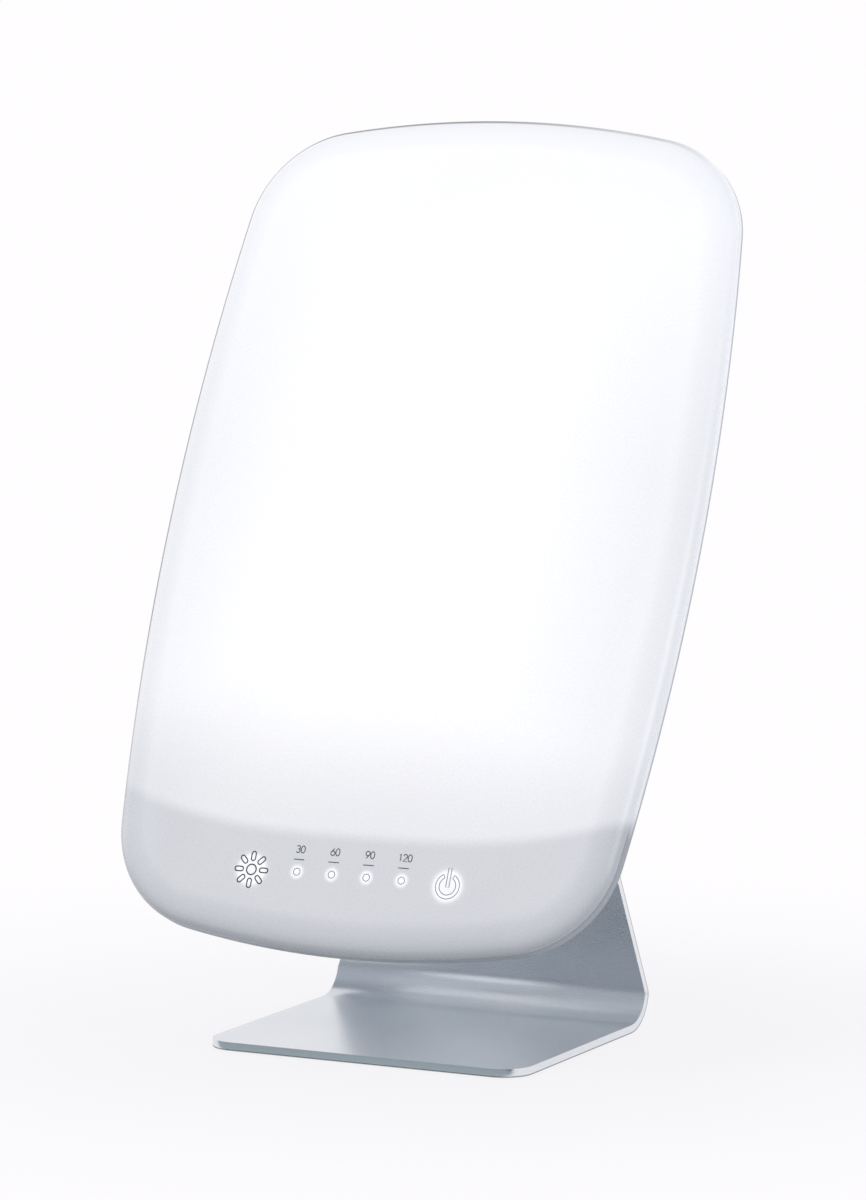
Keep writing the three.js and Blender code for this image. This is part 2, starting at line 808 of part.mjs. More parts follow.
function rearHousing() {
  let body = housingForm(0).subtract(housingForm(wall, -overrun));
  const inside = housingForm(wall / 2);
  for (const [x, z] of screwPlaces()) {
    const near = point(x, postReach + clearance, z);
    const pillar = rod(pillarRadius, near, point(x, housingRoot, z), roundSides);
    body = body.add(pillar.intersect(inside));
  }
  for (const [x, z] of screwPlaces()) {
    const well = screwHeadRadius + 2 * clearance;
    body = body.subtract(rod(well, point(x, screwSeat, z), point(x, housingRoot, z)));
    body = body.subtract(rod(screwClearRadius, point(x, 0, z), point(x, housingRoot, z)));
  }
  body = withStakes(body, trayStakes, housingRoot, trayBack, trayBack - trayWall, inside);
  body = withStakes(body, railStakes, housingRoot, railBack, railFront, inside);
  body = withStakes(body, ballastStakes, housingRoot, ballastBack, ballastFront, inside);
  body = drilled(body, knuckleScrewPlaces, screwClearRadius, innerBack, housingDepth);
  for (const z of [panelTop - ventBelowTop, panelFoot + ventOverFoot]) {
    for (let i = 0; i < ventCount; i += 1) {
      const x = (i - (ventCount - 1) / 2) * ventSpacing;
      const slot = rectangle(x, z, ventWidth, ventLength, ventCornerRadius);
      body = body.subtract(alongY(slot, innerBack - wall, housingRoot, slotSteps));
    }
  }
  const window = rectangle(inletX, inletZ, inletBodyWidth + 2 * clearance, inletBodyHeight + 2 * clearance);
  return body.subtract(alongY(window, innerBack - wall, housingRoot));
}

part('front_cover', frontCover(), opal(), head);
part('rear_housing', rearHousing(), whitePlastic(), head);
screwPlaces().forEach(([x, z], i) => {
  const seat = point(x, screwSeat + clearance, z);
  part(`housing_screw_${i + 1}`, screw(seat, point(0, -1, 0), housingScrewLength), steel(), head);
});

// Reflector tray: white sheet with drawn-out sides, notched below for the lamps
const lampPlaces = Array.from({ length: lampCount }, (_, i) => (i - (lampCount - 1) / 2) * lampSpacing);

function trayRing(margin, depth) {
  const x = trayHalfWidth - margin;
  const low = trayFoot + margin;
  const high = trayTop - margin;
  return { points: [[x, low], [x, high], [-x, high], [-x, low]], depth };
}

function reflectorTray() {
  const outer = loft([trayRing(0, trayFront), trayRing(trayDraft, trayBack)]);
  const inner = loft([
    trayRing(trayWall, trayFront - overrun),
    trayRing(trayWall, trayFront),
    trayRing(trayDraft + trayWall, trayBack - trayWall),
  ]);
  let body = outer.subtract(inner);
  const notchHalf = tubeSpacing / 2 + tubeRadius + 2 * clearance;
  for (const x of lampPlaces) {
    body = body.subtract(block(point(x - notchHalf, 0, trayFoot - overrun),
      point(x + notchHalf, lampDepth + tubeRadius + 2 * clearance, trayFoot + trayDraft + overrun)));
  }
  return drilled(body, trayStakes, stakeHole, trayBack - trayWall, trayBack);
}

part('reflector_tray', reflectorTray(), enamel(), head);

// Arched wall between the lamps and the touch strip, with a window for each lamp's cap
function lightBaffle() {
  const half = panelWidth / 2;
  const riseAt = half - baffleSideMargin;
  const arch = x => panelFoot + baffleHeight + baffleRise * Math.abs(x / riseAt) ** 3;
  const across = Array.from({ length: baffleSteps + 1 }, (_, i) => half * ((2 * i) / baffleSteps - 1));
  const lower = across.map(x => [x, arch(x) - baffleThickness / 2]);
  const upper = across.map(x => [x, arch(x) + baffleThickness / 2]).reverse();
  let body = alongY(outline([...lower, ...upper]), coverRoot, baffleBack);
  body = body.intersect(headRoom(clearance));
  const windowHalf = capWidth / 2 + clearance;
  const windowDepth = capDepth / 2 + clearance;
  for (const x of lampPlaces) {
    body = body.subtract(block(point(x - windowHalf, lampDepth - windowDepth, lampFoot - overrun),
      point(x + windowHalf, lampDepth + windowDepth, trayFoot + overrun)));
  }
  return body;
}

part('light_baffle', lightBaffle(), whitePlastic(), head);

// Lamps: two glass tubes joined near their far ends, in a cap with four contacts, in a socket
const contactOffsets = fourAcrossShares.map(share => share * contactSpacing);

function tubeForm(x, radius, foot, top) {
  const straight = top - foot - radius;
  const dome = Array.from({ length: domeSteps }, (_, i) => {
    const angle = (i / domeSteps) * (Math.PI / 2);
    return [radius * Math.cos(angle), straight + radius * Math.sin(angle)];
  });
  const profile = [[0, 0], [radius, 0], ...dome, [0, top - foot]];
  return turned(profile, point(x, lampDepth, foot), point(0, 0, 1), smallSides);
}

// Both tubes and the bridge, drawn in by an offset and started at a foot
function lampForm(x, offset, foot) {
  const left = x - tubeSpacing / 2;
  const right = x + tubeSpacing / 2;
  const bridgeZ = lampTop - bridgeBelowTop;
  const bridge = rod(bridgeRadius - offset, point(left, lampDepth, bridgeZ),
    point(right, lampDepth, bridgeZ));
  return [left, right].reduce((sum, place) =>
    sum.add(tubeForm(place, tubeRadius - offset, foot, lampTop - offset)), bridge);
}

const lampTube = x => lampForm(x, 0, capTop + clearance)
  .subtract(lampForm(x, glassWall, capTop - overrun));

function lampCap(x) {
  const section = rectangle(x, lampDepth, capWidth, capDepth, capCornerRadius);
  const body = alongZ(section, lampFoot, capTop, capSteps);
  return contactOffsets.reduce((sum, offset) => sum.add(rod(contactRadius,
    point(x + offset, lampDepth, lampFoot - contactLength),
    point(x + offset, lampDepth, capTop - contactLength), thinSides)), body);
}

function lampSocket(x) {
  const half = socketWidth / 2;
  const halfDepth = capDepth / 2;
  const body = block(point(x - half, lampDepth - halfDepth, socketLow),
    point(x + half, lampDepth + halfDepth, socketTop));
  return contactOffsets.reduce((rest, offset) => rest.subtract(rod(contactRadius + clearance,
    point(x + offset, lampDepth, socketTop - contactLength - contactRoom),
    point(x + offset, lampDepth, lampFoot + overrun), thinSides)), body);
}

function tubeClip(x) {
  const inner = tubeSpacing / 2 + tubeRadius + clearance;
  const outer = inner + clipWall;
  const floor = lampDepth + tubeRadius + clearance;
  const foot = trayBack - trayWall - clearance;
  const armEnd = lampDepth - tubeRadius / 2;
  const low = lampTop - clipBelowTop - clipHeight / 2;
  const clip = outline([
    [x - outer, armEnd], [x - inner, armEnd], [x - inner, floor], [x + inner, floor],
    [x + inner, armEnd], [x + outer, armEnd], [x + outer, foot], [x - outer, foot],
  ]);
  return alongZ(clip, low, low + clipHeight);
}

lampPlaces.forEach((x, i) => {
  part(`lamp_tube_${i + 1}`, lampTube(x), glass(), head);
  part(`lamp_cap_${i + 1}`, lampCap(x), capPlastic(), head);
  part(`lamp_socket_${i + 1}`, lampSocket(x), capPlastic(), head);
  part(`tube_clip_${i + 1}`, tubeClip(x), clearPlastic(), head);
});

const railBlock = block(point(-railWidth / 2, railFront, railLow),
  point(railWidth / 2, railBack, railTop));
part('socket_rail', drilled(railBlock, railStakes, stakeHole, railFront, railBack), steel(), head);

// Ballast on its board
const ballastBlock = block(point(ballastLeft, ballastFront, ballastFoot),
  point(ballastRight, ballastBack, ballastTop));
part('ballast_board', drilled(ballastBlock, ballastStakes, stakeHole, ballastFront, ballastBack),
  circuitBoard(), head);
const onBallast = ballastFront - clearance;
const ballastMiddle = (ballastLeft + ballastRight) / 2;
part('ballast_choke', block(
  point(ballastMiddle, onBallast - chokeDepth, ballastFoot + chokeHeight),
  point(ballastMiddle + chokeWidth, onBallast, ballastFoot + 2 * chokeHeight),
), blackPlastic(), head);
part('ballast_capacitor', rod(capacitorRadius,
  point(ballastLeft + capacitorLength / 2, onBallast - capacitorRadius, ballastTop - 2 * capacitorLength),
  point(ballastLeft + capacitorLength / 2, onBallast - capacitorRadius, ballastTop - capacitorLength),
), blackPlastic(), head);

// Control board with the touch contacts and light pipes that reach the cover
const controlBlock = block(point(-controlBoardWidth / 2, controlBoardFront, controlBoardLow),
  point(controlBoardWidth / 2, controlBoardBack, controlBoardHigh));
part('control_board', drilled(controlBlock, controlStakes, stakeHole, controlBoardFront, controlBoardBack),
  circuitBoard(), head);
const behindCover = coverForm(wall + clearance, overrun);
const reachCover = (x, radius, sides) => rod(radius, point(x, coverRoot, stripZ),
  point(x, controlBoardFront - clearance, stripZ), sides).intersect(behindCover);
[-1, 1].forEach((side, i) => {
  part(`touch_contact_${i + 1}`, reachCover(side * keyReach, contactFaceRadius, roundSides), foil(), head);
});
fourAcrossShares.forEach((share, i) => {
  const pipe = reachCover(share * indicatorSpacing, pipeRadius, smallSides);
  part(`light_pipe_${i + 1}`, pipe, clearPlastic(), head);
});

// Mains inlet in the housing's back: a rim, a body and a pocket with two pins
const pocketFloor = housingDepth + clearance + inletRimThickness - pocketDepth;
const inletInner = pocketFloor - inletWall;

function powerInlet() {
  const rimFront = housingDepth + clearance;
  const rimBack = rimFront + inletRimThickness;
  const rimWidth = inletBodyWidth + 2 * inletRim;
  const rimHeight = inletBodyHeight + 2 * inletRim;
  let body = alongY(rectangle(inletX, inletZ, rimWidth, rimHeight, inletRim), rimFront, rimBack, capSteps);
  body = body.add(alongY(rectangle(inletX, inletZ, inletBodyWidth, inletBodyHeight), inletInner, rimBack));
  body = body.subtract(alongY(rectangle(inletX, inletZ, pocketWidth, pocketHeight, inletWall),
    pocketFloor, rimBack + overrun, capSteps));
  return drilled(body, inletPins, inletPinRadius + clearance, inletInner, pocketFloor);
}

const inletPins = [-1, 1].map(side => [inletX + side * inletPinSpacing / 2, inletZ]);
part('power_inlet', powerInlet(), blackPlastic(), head);
const pinTailEnd = inletInner - inletPinTail;
inletPins.forEach(([x, z], i) => {
  part(`inlet_pin_${i + 1}`, rod(inletPinRadius, point(x, pinTailEnd, z),
    point(x, pocketFloor + inletPinLength, z)), brass(), head);
});

// Leads: from the inlet to the ballast, from the ballast to the sockets, and to the control board
const mainsLeadDepth = pinTailEnd - clearance - mainsLeadRadius;
const boardEdge = ballastFoot - clearance;
const mainsLeadEnd = ballastFoot + mainsLeadRise;
const boardMiddle = (ballastFront + ballastBack) / 2;
part('mains_lead', lead(roundSection(mainsLeadRadius, thinSides), [
  point(inletX - inletPinSpacing, mainsLeadDepth, inletZ),
  point(inletX + inletPinSpacing, mainsLeadDepth, inletZ),
  point(0, (mainsLeadDepth + boardMiddle) / 2, boardEdge - mainsLeadDrop),
  point(ballastLeft / 2, boardMiddle, mainsLeadEnd),
  point(ballastLeft - clearance, boardMiddle, mainsLeadEnd),
], leadSteps), blackPlastic(), head);

const harnessDepth = railBack + clearance + harnessRadius;
const harnessZ = railTop - 2 * harnessRadius;
const harnessReach = lampSpacing + capWidth / 2;
const harnessRun = rod(harnessRadius, point(-harnessReach, harnessDepth, harnessZ),
  point(harnessReach, harnessDepth, harnessZ), thinSides);
const harnessX = ballastRight - harnessInset;
const harnessClimb = lead(roundSection(harnessRadius, thinSides), [
  point(harnessX, harnessDepth, harnessZ),
  point(harnessX, baffleBack + 3 * harnessRadius, railTop + 3 * harnessRadius),
  point(harnessX, ballastFront - 2 * harnessRadius, trayFoot + leadBend),
  point(harnessX, ballastFront, boardEdge),
], leadSteps);
part('lamp_harness', harnessRun.add(harnessClimb), whitePlastic(), head);

const ribbonX = lampSpacing / 2;
const ribbonZ = controlBoardHigh - 2 * ribbonThickness;
part('control_ribbon', lead(rectangle(0, 0, ribbonWidth, ribbonThickness), [
  point(ribbonX, controlBoardBack + clearance, ribbonZ),
  point(ribbonX, railFront, ribbonZ),
  point(ribbonX, baffleBack + leadBend, ribbonZ + leadBend),
  point(ribbonX, ballastFront - ribbonThickness, trayFoot),
  point(ribbonX, ballastFront, boardEdge),
], leadSteps), whitePlastic(), head);

export default lamp;
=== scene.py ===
"""Desk light therapy lamp, dressed for a studio picture.

A tall opal panel, lit from inside above a grey touch strip, tilts on a friction hinge behind it. It stands
on one bent sheet of aluminium. Metres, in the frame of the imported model: +Z up, the panel faces -Y.
"""

import json
import math

import bmesh
import bpy
from mathutils import Matrix, Vector


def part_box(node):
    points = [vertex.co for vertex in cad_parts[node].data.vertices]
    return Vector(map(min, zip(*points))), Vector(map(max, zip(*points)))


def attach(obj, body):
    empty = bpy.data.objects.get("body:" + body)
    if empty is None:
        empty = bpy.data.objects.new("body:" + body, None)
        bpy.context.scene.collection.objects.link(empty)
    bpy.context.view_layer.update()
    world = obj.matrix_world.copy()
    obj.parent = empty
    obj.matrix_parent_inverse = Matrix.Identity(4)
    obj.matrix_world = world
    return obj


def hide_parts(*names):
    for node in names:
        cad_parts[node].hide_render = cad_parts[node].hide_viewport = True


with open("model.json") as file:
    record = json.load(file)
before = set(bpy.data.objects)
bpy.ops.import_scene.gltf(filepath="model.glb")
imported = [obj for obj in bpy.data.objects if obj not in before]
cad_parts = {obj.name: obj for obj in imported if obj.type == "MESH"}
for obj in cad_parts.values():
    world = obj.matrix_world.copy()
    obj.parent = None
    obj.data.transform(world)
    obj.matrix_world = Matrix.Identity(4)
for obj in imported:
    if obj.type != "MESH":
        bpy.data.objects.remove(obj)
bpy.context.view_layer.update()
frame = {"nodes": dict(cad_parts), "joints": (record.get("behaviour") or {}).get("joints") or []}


# Stand sheet
# One piece of 5 mm aluminium, laser cut to its outline, bent once with a round bend, blasted and
# anodised to a satin finish. The cut edges were ground after bending, so they shine more.
sheet = 0.005
bend_radius = 0.020
front_corner = 0.018
taper_start = 0.015
upright_top_width = 0.064
upright_corner = 0.012
sheet_edge_round = 0.0006
edge_round_steps = 3
sheet_sharp_edge = math.radians(50)
flat_rows = 12
corner_rows = 14
bend_rows = 20
upright_rows = 24
sheet_columns = 28

plate_low, plate_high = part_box("stand_plate")
half_base = plate_high.x
sheet_top = plate_low.z + sheet
upright_face = plate_high.y - sheet
bend_start = upright_face - bend_radius
taper_z = sheet_top + taper_start


def upright_half_width(z):
    """Half the stand's width at a height: straight, then tapered, then rounded off at the top corners."""
    top = plate_high.z
    half_top = upright_top_width / 2
    if z <= taper_z:
        return half_base
    slant = math.atan2(half_base - half_top, top - taper_z)
    corner_reach = upright_corner / math.tan((math.pi / 2 + slant) / 2)
    if z > top - corner_reach * math.cos(slant):
        over = z - (top - upright_corner)
        return half_top - corner_reach + math.sqrt(max(0.0, upright_corner**2 - over**2))
    return half_base + (half_top - half_base) * (z - taper_z) / (top - taper_z)


def front_half_width(y):
    """Half the base's width at a distance along it, rounded at the front corners."""
    into = y - plate_low.y
    if into >= front_corner:
        return half_base
    return half_base - front_corner + math.sqrt(front_corner**2 - (front_corner - into) ** 2)


def sheet_stations():
    """Stations along the sheet's upper face: point, outward normal and the two faces' half widths."""
    stations = []
    ys = [front_corner * (1 - math.cos(math.pi / 2 * i / corner_rows)) for i in range(corner_rows)]
    ys = [plate_low.y + y for y in ys]
    run = bend_start - ys[0] - front_corner
    ys += [plate_low.y + front_corner + run * i / flat_rows for i in range(flat_rows + 1)]
    for y in ys:
        width = front_half_width(y)
        stations.append((Vector((0, y, sheet_top)), Vector((0, 0, 1)), width, width))
    for i in range(1, bend_rows + 1):
        turn = math.pi / 2 * i / bend_rows
        outward = Vector((0, -math.sin(turn), math.cos(turn)))
        middle = Vector((0, bend_start, sheet_top + bend_radius))
        point = middle - outward * bend_radius
        back = point - outward * sheet
        stations.append((point, outward, upright_half_width(point.z), upright_half_width(back.z)))
    low = sheet_top + bend_radius
    straight = plate_high.z - low - upright_corner
    zs = [low + straight * i / upright_rows for i in range(1, upright_rows + 1)]
    top_turns = [math.pi / 2 * i / corner_rows for i in range(1, corner_rows + 1)]
    zs += [low + straight + upright_corner * math.sin(turn) for turn in top_turns]
    for z in zs:
        width = upright_half_width(z)
        stations.append((Vector((0, upright_face, z)), Vector((0, -1, 0)), width, width))
    return stations


def mesh_of(name, shape):
    """The mesh made from a bmesh, which is then freed."""
    mesh = bpy.data.meshes.new(name)
    shape.to_mesh(mesh)
    shape.free()
    return mesh


def bent_sheet():
    """The sheet as two faces joined by their cut edges, with a UV map that follows it round the bend."""
    shape = bmesh.new()
    uv = shape.loops.layers.uv.new("along_sheet")
    run = 0.0
    last = None
    rows = []
    for point, outward, face_half, back_half in sheet_stations():
        if last is not None:
            run += (point - last).length
        last = point
        row = []
        for column in range(sheet_columns + 1):
            across = 2 * column / sheet_columns - 1
            upper = shape.verts.new(point + Vector((across * face_half, 0, 0)))
            lower = shape.verts.new(point - outward * sheet + Vector((across * back_half, 0, 0)))
            row.append((upper, lower, across * face_half))
        rows.append((row, run))
    on_face, on_side, on_end = {}, {}, {}
    for row, along in rows:
        for upper, lower, across in row:
            on_face[upper] = on_face[lower] = (across, along)
            on_side[upper], on_side[lower] = (0, along), (sheet, along)
            on_end[upper], on_end[lower] = (0, across), (sheet, across)

    def face(corners, where, finish):
        made = shape.faces.new(corners)
        made.material_index = finish
        made.smooth = True
        for loop in made.loops:
            loop[uv].uv = where[loop.vert]

    for (near, _), (far, _) in zip(rows, rows[1:]):
        for i in range(sheet_columns):
            face((near[i][0], near[i + 1][0], far[i + 1][0], far[i][0]), on_face, 0)
            face((near[i][1], far[i][1], far[i + 1][1], near[i + 1][1]), on_face, 0)
        face((near[0][0], far[0][0], far[0][1], near[0][1]), on_side, 1)
        face((near[-1][0], near[-1][1], far[-1][1], far[-1][0]), on_side, 1)
    for row, order in ((rows[0][0], 1), (rows[-1][0], -1)):
        for left, right in zip(row, row[1:]):
            face((left[0], left[1], right[1], right[0])[::order], on_end, 1)
    return mesh_of("bent_sheet", shape)


def node_adder(tree):
    """Empties a node tree, and gives the function that adds a node with its inputs set or linked."""
    tree.nodes.clear()

    def add(kind, inputs=None, **settings):
        made = tree.nodes.new("ShaderNode" + kind)
        for key, value in settings.items():
            setattr(made, key, value)
        for key, value in (inputs or {}).items():
            if isinstance(value, bpy.types.NodeSocket):
                tree.links.new(value, made.inputs[key])
            else:
                made.inputs[key].default_value = value
        return made

    return add


def blank_finish(name):
    """A material with an empty tree, and the function that adds nodes to it."""
    material = bpy.data.materials.new(name)
    material.use_nodes = True
    return material, node_adder(material.node_tree)


def noise(add, place, scale, detail=3.0):
    return add("TexNoise", {"Vector": place, "Scale": scale, "Detail": detail}).outputs["Fac"]


noise_low = 0.3
noise_high = 0.7


def ramp(add, value, deep, pale, low=noise_low, high=noise_high):
    """A colour that runs from deep to pale as a value goes from low to high."""
    made = add("ValToRGB", {"Fac": value})
    for element, place, colour in zip(made.color_ramp.elements, (low, high), (deep, pale)):
        element.position = place
        element.color = colour
    return made.outputs["Color"]


def spread(add, value, low, high, start=0.0, end=1.0, kind="LINEAR"):
    """A value carried from the range start to end into the range low to high."""
    inputs = {"Value": value, "From Min": start, "From Max": end, "To Min": low, "To Max": high}
    return add("MapRange", inputs, interpolation_type=kind).outputs["Result"]


def blend(add, share, first, second, kind="MIX"):
    """The first colour carried towards the second by a share, or multiplied by it."""
    inputs = {0: share, 6: first, 7: second}
    return add("Mix", inputs, data_type="RGBA", blend_type=kind).outputs[2]


def relief(add, grain, strength, depth):
    return add("Bump", {"Height": grain, "Strength": strength, "Distance": depth}).outputs["Normal"]


def shaded(add, inputs):
    """Ends a material with its shader."""
    add("OutputMaterial", {"Surface": add("BsdfPrincipled", inputs).outputs[0]})


sheet_satin = (0.70, 0.735, 0.765, 1)
sheet_satin_pale = (0.74, 0.77, 0.80, 1)
satin_metallic = 0.78
satin_roughness = (0.23, 0.32)
satin_grain_scale = 4200.0
satin_grain_stretch = 0.35
satin_relief = (0.05, 0.000006)
satin_cloud_scale = 17.0


def satin_aluminium():
    """Blasted aluminium: fine grain drawn out a little along the sheet, with cloudy anodising."""
    material, add = blank_finish("satin_sheet")
    place = add("TexCoord").outputs["UV"]
    along = add("Mapping", {"Vector": place, "Scale": (1.0, satin_grain_stretch, 1.0)}).outputs["Vector"]
    fine = noise(add, along, satin_grain_scale, detail=1.0)
    cloud = noise(add, place, satin_cloud_scale)
    shaded(add, {
        "Base Color": ramp(add, cloud, sheet_satin, sheet_satin_pale),
        "Metallic": satin_metallic,
        "Roughness": spread(add, fine, *satin_roughness, noise_low, noise_high),
        "Normal": relief(add, fine, *satin_relief),
    })
    return material


cut_edge_pale = (0.83, 0.85, 0.88, 1)
cut_edge_roughness = (0.19, 0.27)
grinding_scale = 2600.0
grinding_stretch = 0.04
break_and_shade_grey = (0.30, 0.31, 0.33, 1)
break_shade_shares = (0.82, 0.88)


def ground_edge():
    """A cut edge ground along its length, with a darker band near the back face where the cut broke through,
    deepened with painted shade.
    """
    material, add = blank_finish("ground_edge")
    place = add("TexCoord").outputs["UV"]
    along = add("Mapping", {"Vector": place, "Scale": (1.0, grinding_stretch, 1.0)}).outputs["Vector"]
    lines = noise(add, along, grinding_scale, detail=2.0)
    ground = ramp(add, lines, sheet_satin_pale, cut_edge_pale)
    into = add("SeparateXYZ", {"Vector": place}).outputs["X"]
    # Painted shade: the cut edge turns darker grey near the sheet's back face, deeper than the broken cut
    # alone leaves it.
    broken_and_shaded = spread(add, into, 0.0, 1.0, break_shade_shares[0] * sheet, break_shade_shares[1] * sheet)
    shaded(add, {
        "Base Color": blend(add, broken_and_shaded, ground, break_and_shade_grey),
        "Metallic": 1.0,
        "Roughness": spread(add, lines, *cut_edge_roughness, noise_low, noise_high),
    })
    return material


def in_scene(name, data):
    """A new object in the scene, from a mesh, a lamp or a camera."""
    made = bpy.data.objects.new(name, data)
    bpy.context.scene.collection.objects.link(made)
    return made


def place_piece(name, mesh, body, slot, *materials):
    """An object from a mesh, with its finishes and the body that it rides on."""
    piece = in_scene(name, mesh)
    for material in materials:
        piece.data.materials.append(material)
    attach(piece, body)
    return piece


stand_finishes = (satin_aluminium(), ground_edge())
stand_sheet = place_piece("stand_sheet", bent_sheet(), "stand", "sheet_aluminium", *stand_finishes)
rounded = stand_sheet.modifiers.new("edges", "BEVEL")
rounded.width = sheet_edge_round
rounded.segments = edge_round_steps
rounded.limit_method = "ANGLE"
rounded.angle_limit = sheet_sharp_edge
rounded.harden_normals = True
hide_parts("stand_plate")


# Foot pads
# Four thin discs of black rubber under the base, punched from sheet and stuck on.
cloud_scale = 23.0
cloud_detail = 4.0
cloud_low = 0.32
cloud_high = 0.68
grain_strength = 0.5
coat_roughness = 0.12
smoother = 0.06
rougher = 0.08


def moulded(name, deep, pale, rough, grain, depth, metallic=0.0, coat=0.0):
    """A moulded or plated surface: cloudy colour, and grain of this size and depth."""
    material, add = blank_finish(name)
    place = add("TexCoord").outputs["Object"]
    fine = noise(add, place, 1 / grain)
    cloud = noise(add, place, cloud_scale, cloud_detail)
    shaded(add, {
        "Base Color": ramp(add, cloud, deep, pale, cloud_low, cloud_high),
        "Metallic": metallic,
        "Roughness": spread(add, fine, rough - smoother, rough + rougher, noise_low, noise_high),
        "Normal": relief(add, fine, grain_strength, depth),
        "Coat Weight": coat,
        "Coat Roughness": coat_roughness,
    })
    return material


def give(material, *nodes):
    """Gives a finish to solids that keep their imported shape."""
    for name in nodes:
        slots = frame["nodes"][name].data.materials
        slots.clear()
        slots.append(material)


pad_black = (0.012, 0.012, 0.013, 1)
pad_worn = (0.03, 0.03, 0.032, 1)
pad_rubber = moulded("pad_rubber", pad_black, pad_worn, rough=0.8, grain=0.0006, depth=0.00008)
give(pad_rubber, *[f"foot_pad_{i}" for i in range(1, 5)])


# Hinge
# A bracket with two ears on the upright, a knuckle on the panel's back, and an axle through both. Fibre
# washers, a disc spring and a lock nut press them together, so the panel stays where it is put.
plated_deep = (0.48, 0.49, 0.51, 1)
plated_pale = (0.58, 0.59, 0.61, 1)
fibre_black = (0.02, 0.02, 0.022, 1)
fibre_pale = (0.04, 0.04, 0.042, 1)
plated = moulded("zinc_plate", plated_deep, plated_pale, 0.34, grain=0.0009, depth=0.00002, metallic=1.0)
fibre = moulded("washer_fibre", fibre_black, fibre_pale, rough=0.6, grain=0.0005, depth=0.00003)
give(plated, "hinge_bracket", "hinge_axle", "disc_spring", "lock_nut", "hinge_knuckle", "backing_plate")
give(fibre, "friction_washer_1", "friction_washer_2")


# Rear housing
# A tray moulded in white plastic with a finely blasted surface: a smooth rim band, a step, sloping flanks
# and a flat back with two rows of vent slots, six screw wells and the window of the mains inlet.
panel_width = 0.345
panel_height = 0.519
side_arc = 1.663
end_arc = 0.593
corner_arc = 0.067
wall = 0.0025
lean = math.radians(25)
rim_before_hinge = 0.064
middle_over_hinge = 0.014
side_steps = 14
corner_steps = 22
end_steps = 12

hinge_place = Matrix.Translation(Vector(frame["joints"][0]["pos_m"]))
rim_place = Matrix.Translation((0, -rim_before_hinge, middle_over_hinge))
panel_place = hinge_place @ Matrix.Rotation(-lean, 4, "X") @ rim_place

side_middle = Vector((panel_width / 2 - side_arc, 0))
end_middle = Vector((0, panel_height / 2 - end_arc))


def corner_middle():
    """Where the corner arc's centre lies, so that it runs smoothly into the side arc and the end arc."""
    across = end_middle - side_middle
    apart = across.length
    from_side = side_arc - corner_arc
    from_end = end_arc - corner_arc
    along = (from_side**2 - from_end**2 + apart**2) / (2 * apart)
    beside = math.sqrt(from_side**2 - along**2)
    unit = across / apart
    return side_middle + unit * along + Vector((-unit.y, unit.x)) * beside


def rim_line(inset):
    """The panel's rim at an inset, anticlockwise from its right-hand middle, as (x, height) points."""
    corner = corner_middle()
    side_turn = math.atan2(corner.y - side_middle.y, corner.x - side_middle.x)
    end_turn = math.atan2(corner.y - end_middle.y, corner.x - end_middle.x)
    arcs = (
        (side_middle, side_arc, 0.0, side_turn, side_steps),
        (corner, corner_arc, side_turn, end_turn, corner_steps),
        (end_middle, end_arc, end_turn, math.pi / 2, end_steps),
    )
    quarter = []
    for middle, radius, start, end, steps in arcs:
        for i in range(steps):
            turn = start + (end - start) * i / steps
            reach = radius - inset
            quarter.append((middle.x + reach * math.cos(turn), middle.y + reach * math.sin(turn)))
    top = (0.0, panel_height / 2 - inset)
    upper = quarter + [top] + [(-x, z) for x, z in quarter[:0:-1]] + [(-quarter[0][0], 0.0)]
    return upper + [(x, -z) for x, z in upper[-2:0:-1]]


def join_loops(shape, near, far):
    """Faces between two closed loops of as many points."""
    for i in range(len(near)):
        after = (i + 1) % len(near)
        shape.faces.new((near[i], near[after], far[after], far[i]))


def lofted(name, rings, crown_depths=None):
    """A closed skin through rings of (points, depth). Its ends are flat, or come to a middle point."""
    shape = bmesh.new()
    loops = [[shape.verts.new((x, depth, z)) for x, z in points] for points, depth in rings]
    for near, far in zip(loops, loops[1:]):
        join_loops(shape, near, far)
    for loop, depth in zip((loops[0], loops[-1]), crown_depths or (None, None)):
        if depth is None:
            shape.faces.new(loop)
            continue
        middle = shape.verts.new((0, depth, 0))
        for i, vert in enumerate(loop):
            shape.faces.new((middle, vert, loop[(i + 1) % len(loop)]))
    bmesh.ops.recalc_face_normals(shape, faces=shape.faces)
    return mesh_of(name, shape)


band_depth = 0.007
band_step = 0.003
band_round = 0.0012
front_edge_round = 0.0004
flank_inset = 0.034
flank_depth = 0.042
back_inset = 0.048
housing_depth = 0.050
round_steps = 4
back_bend_steps = 10
flank_slope = (flank_inset - band_step) / (flank_depth - band_depth)


def quarter_round(inset, depth, radius, start, end):
    """Profile points (inset, depth) on an arc about a centre, between two turns in degrees."""
    points = []
    for i in range(round_steps + 1):
        turn = math.radians(start + (end - start) * i / round_steps)
        points.append((inset - radius * math.cos(turn), depth + radius * math.sin(turn)))
    return points


def back_bend(bend_inset, bend_depth, control_inset, back):
    """Profile points round the bend from the flank to the flat back."""
    points = []
    for i in range(back_bend_steps + 1):
        share = i / back_bend_steps
        inset = (1 - share) ** 2 * bend_inset + 2 * share * (1 - share) * control_inset
        inset += share**2 * back_inset
        depth = (1 - share) ** 2 * bend_depth + (1 - (1 - share) ** 2) * back
        points.append((inset, depth))
    return points


def housing_outside():
    profile = quarter_round(front_edge_round, front_edge_round, front_edge_round, -90, 0)
    profile += quarter_round(band_round, band_depth - band_round, band_round, 0, 90)
    profile += [(band_step, band_depth)]
    control = band_step + (housing_depth - band_depth) * flank_slope
    profile += back_bend(flank_inset, flank_depth, control, housing_depth)
    return lofted("housing_outside", [(rim_line(inset), depth) for inset, depth in profile])


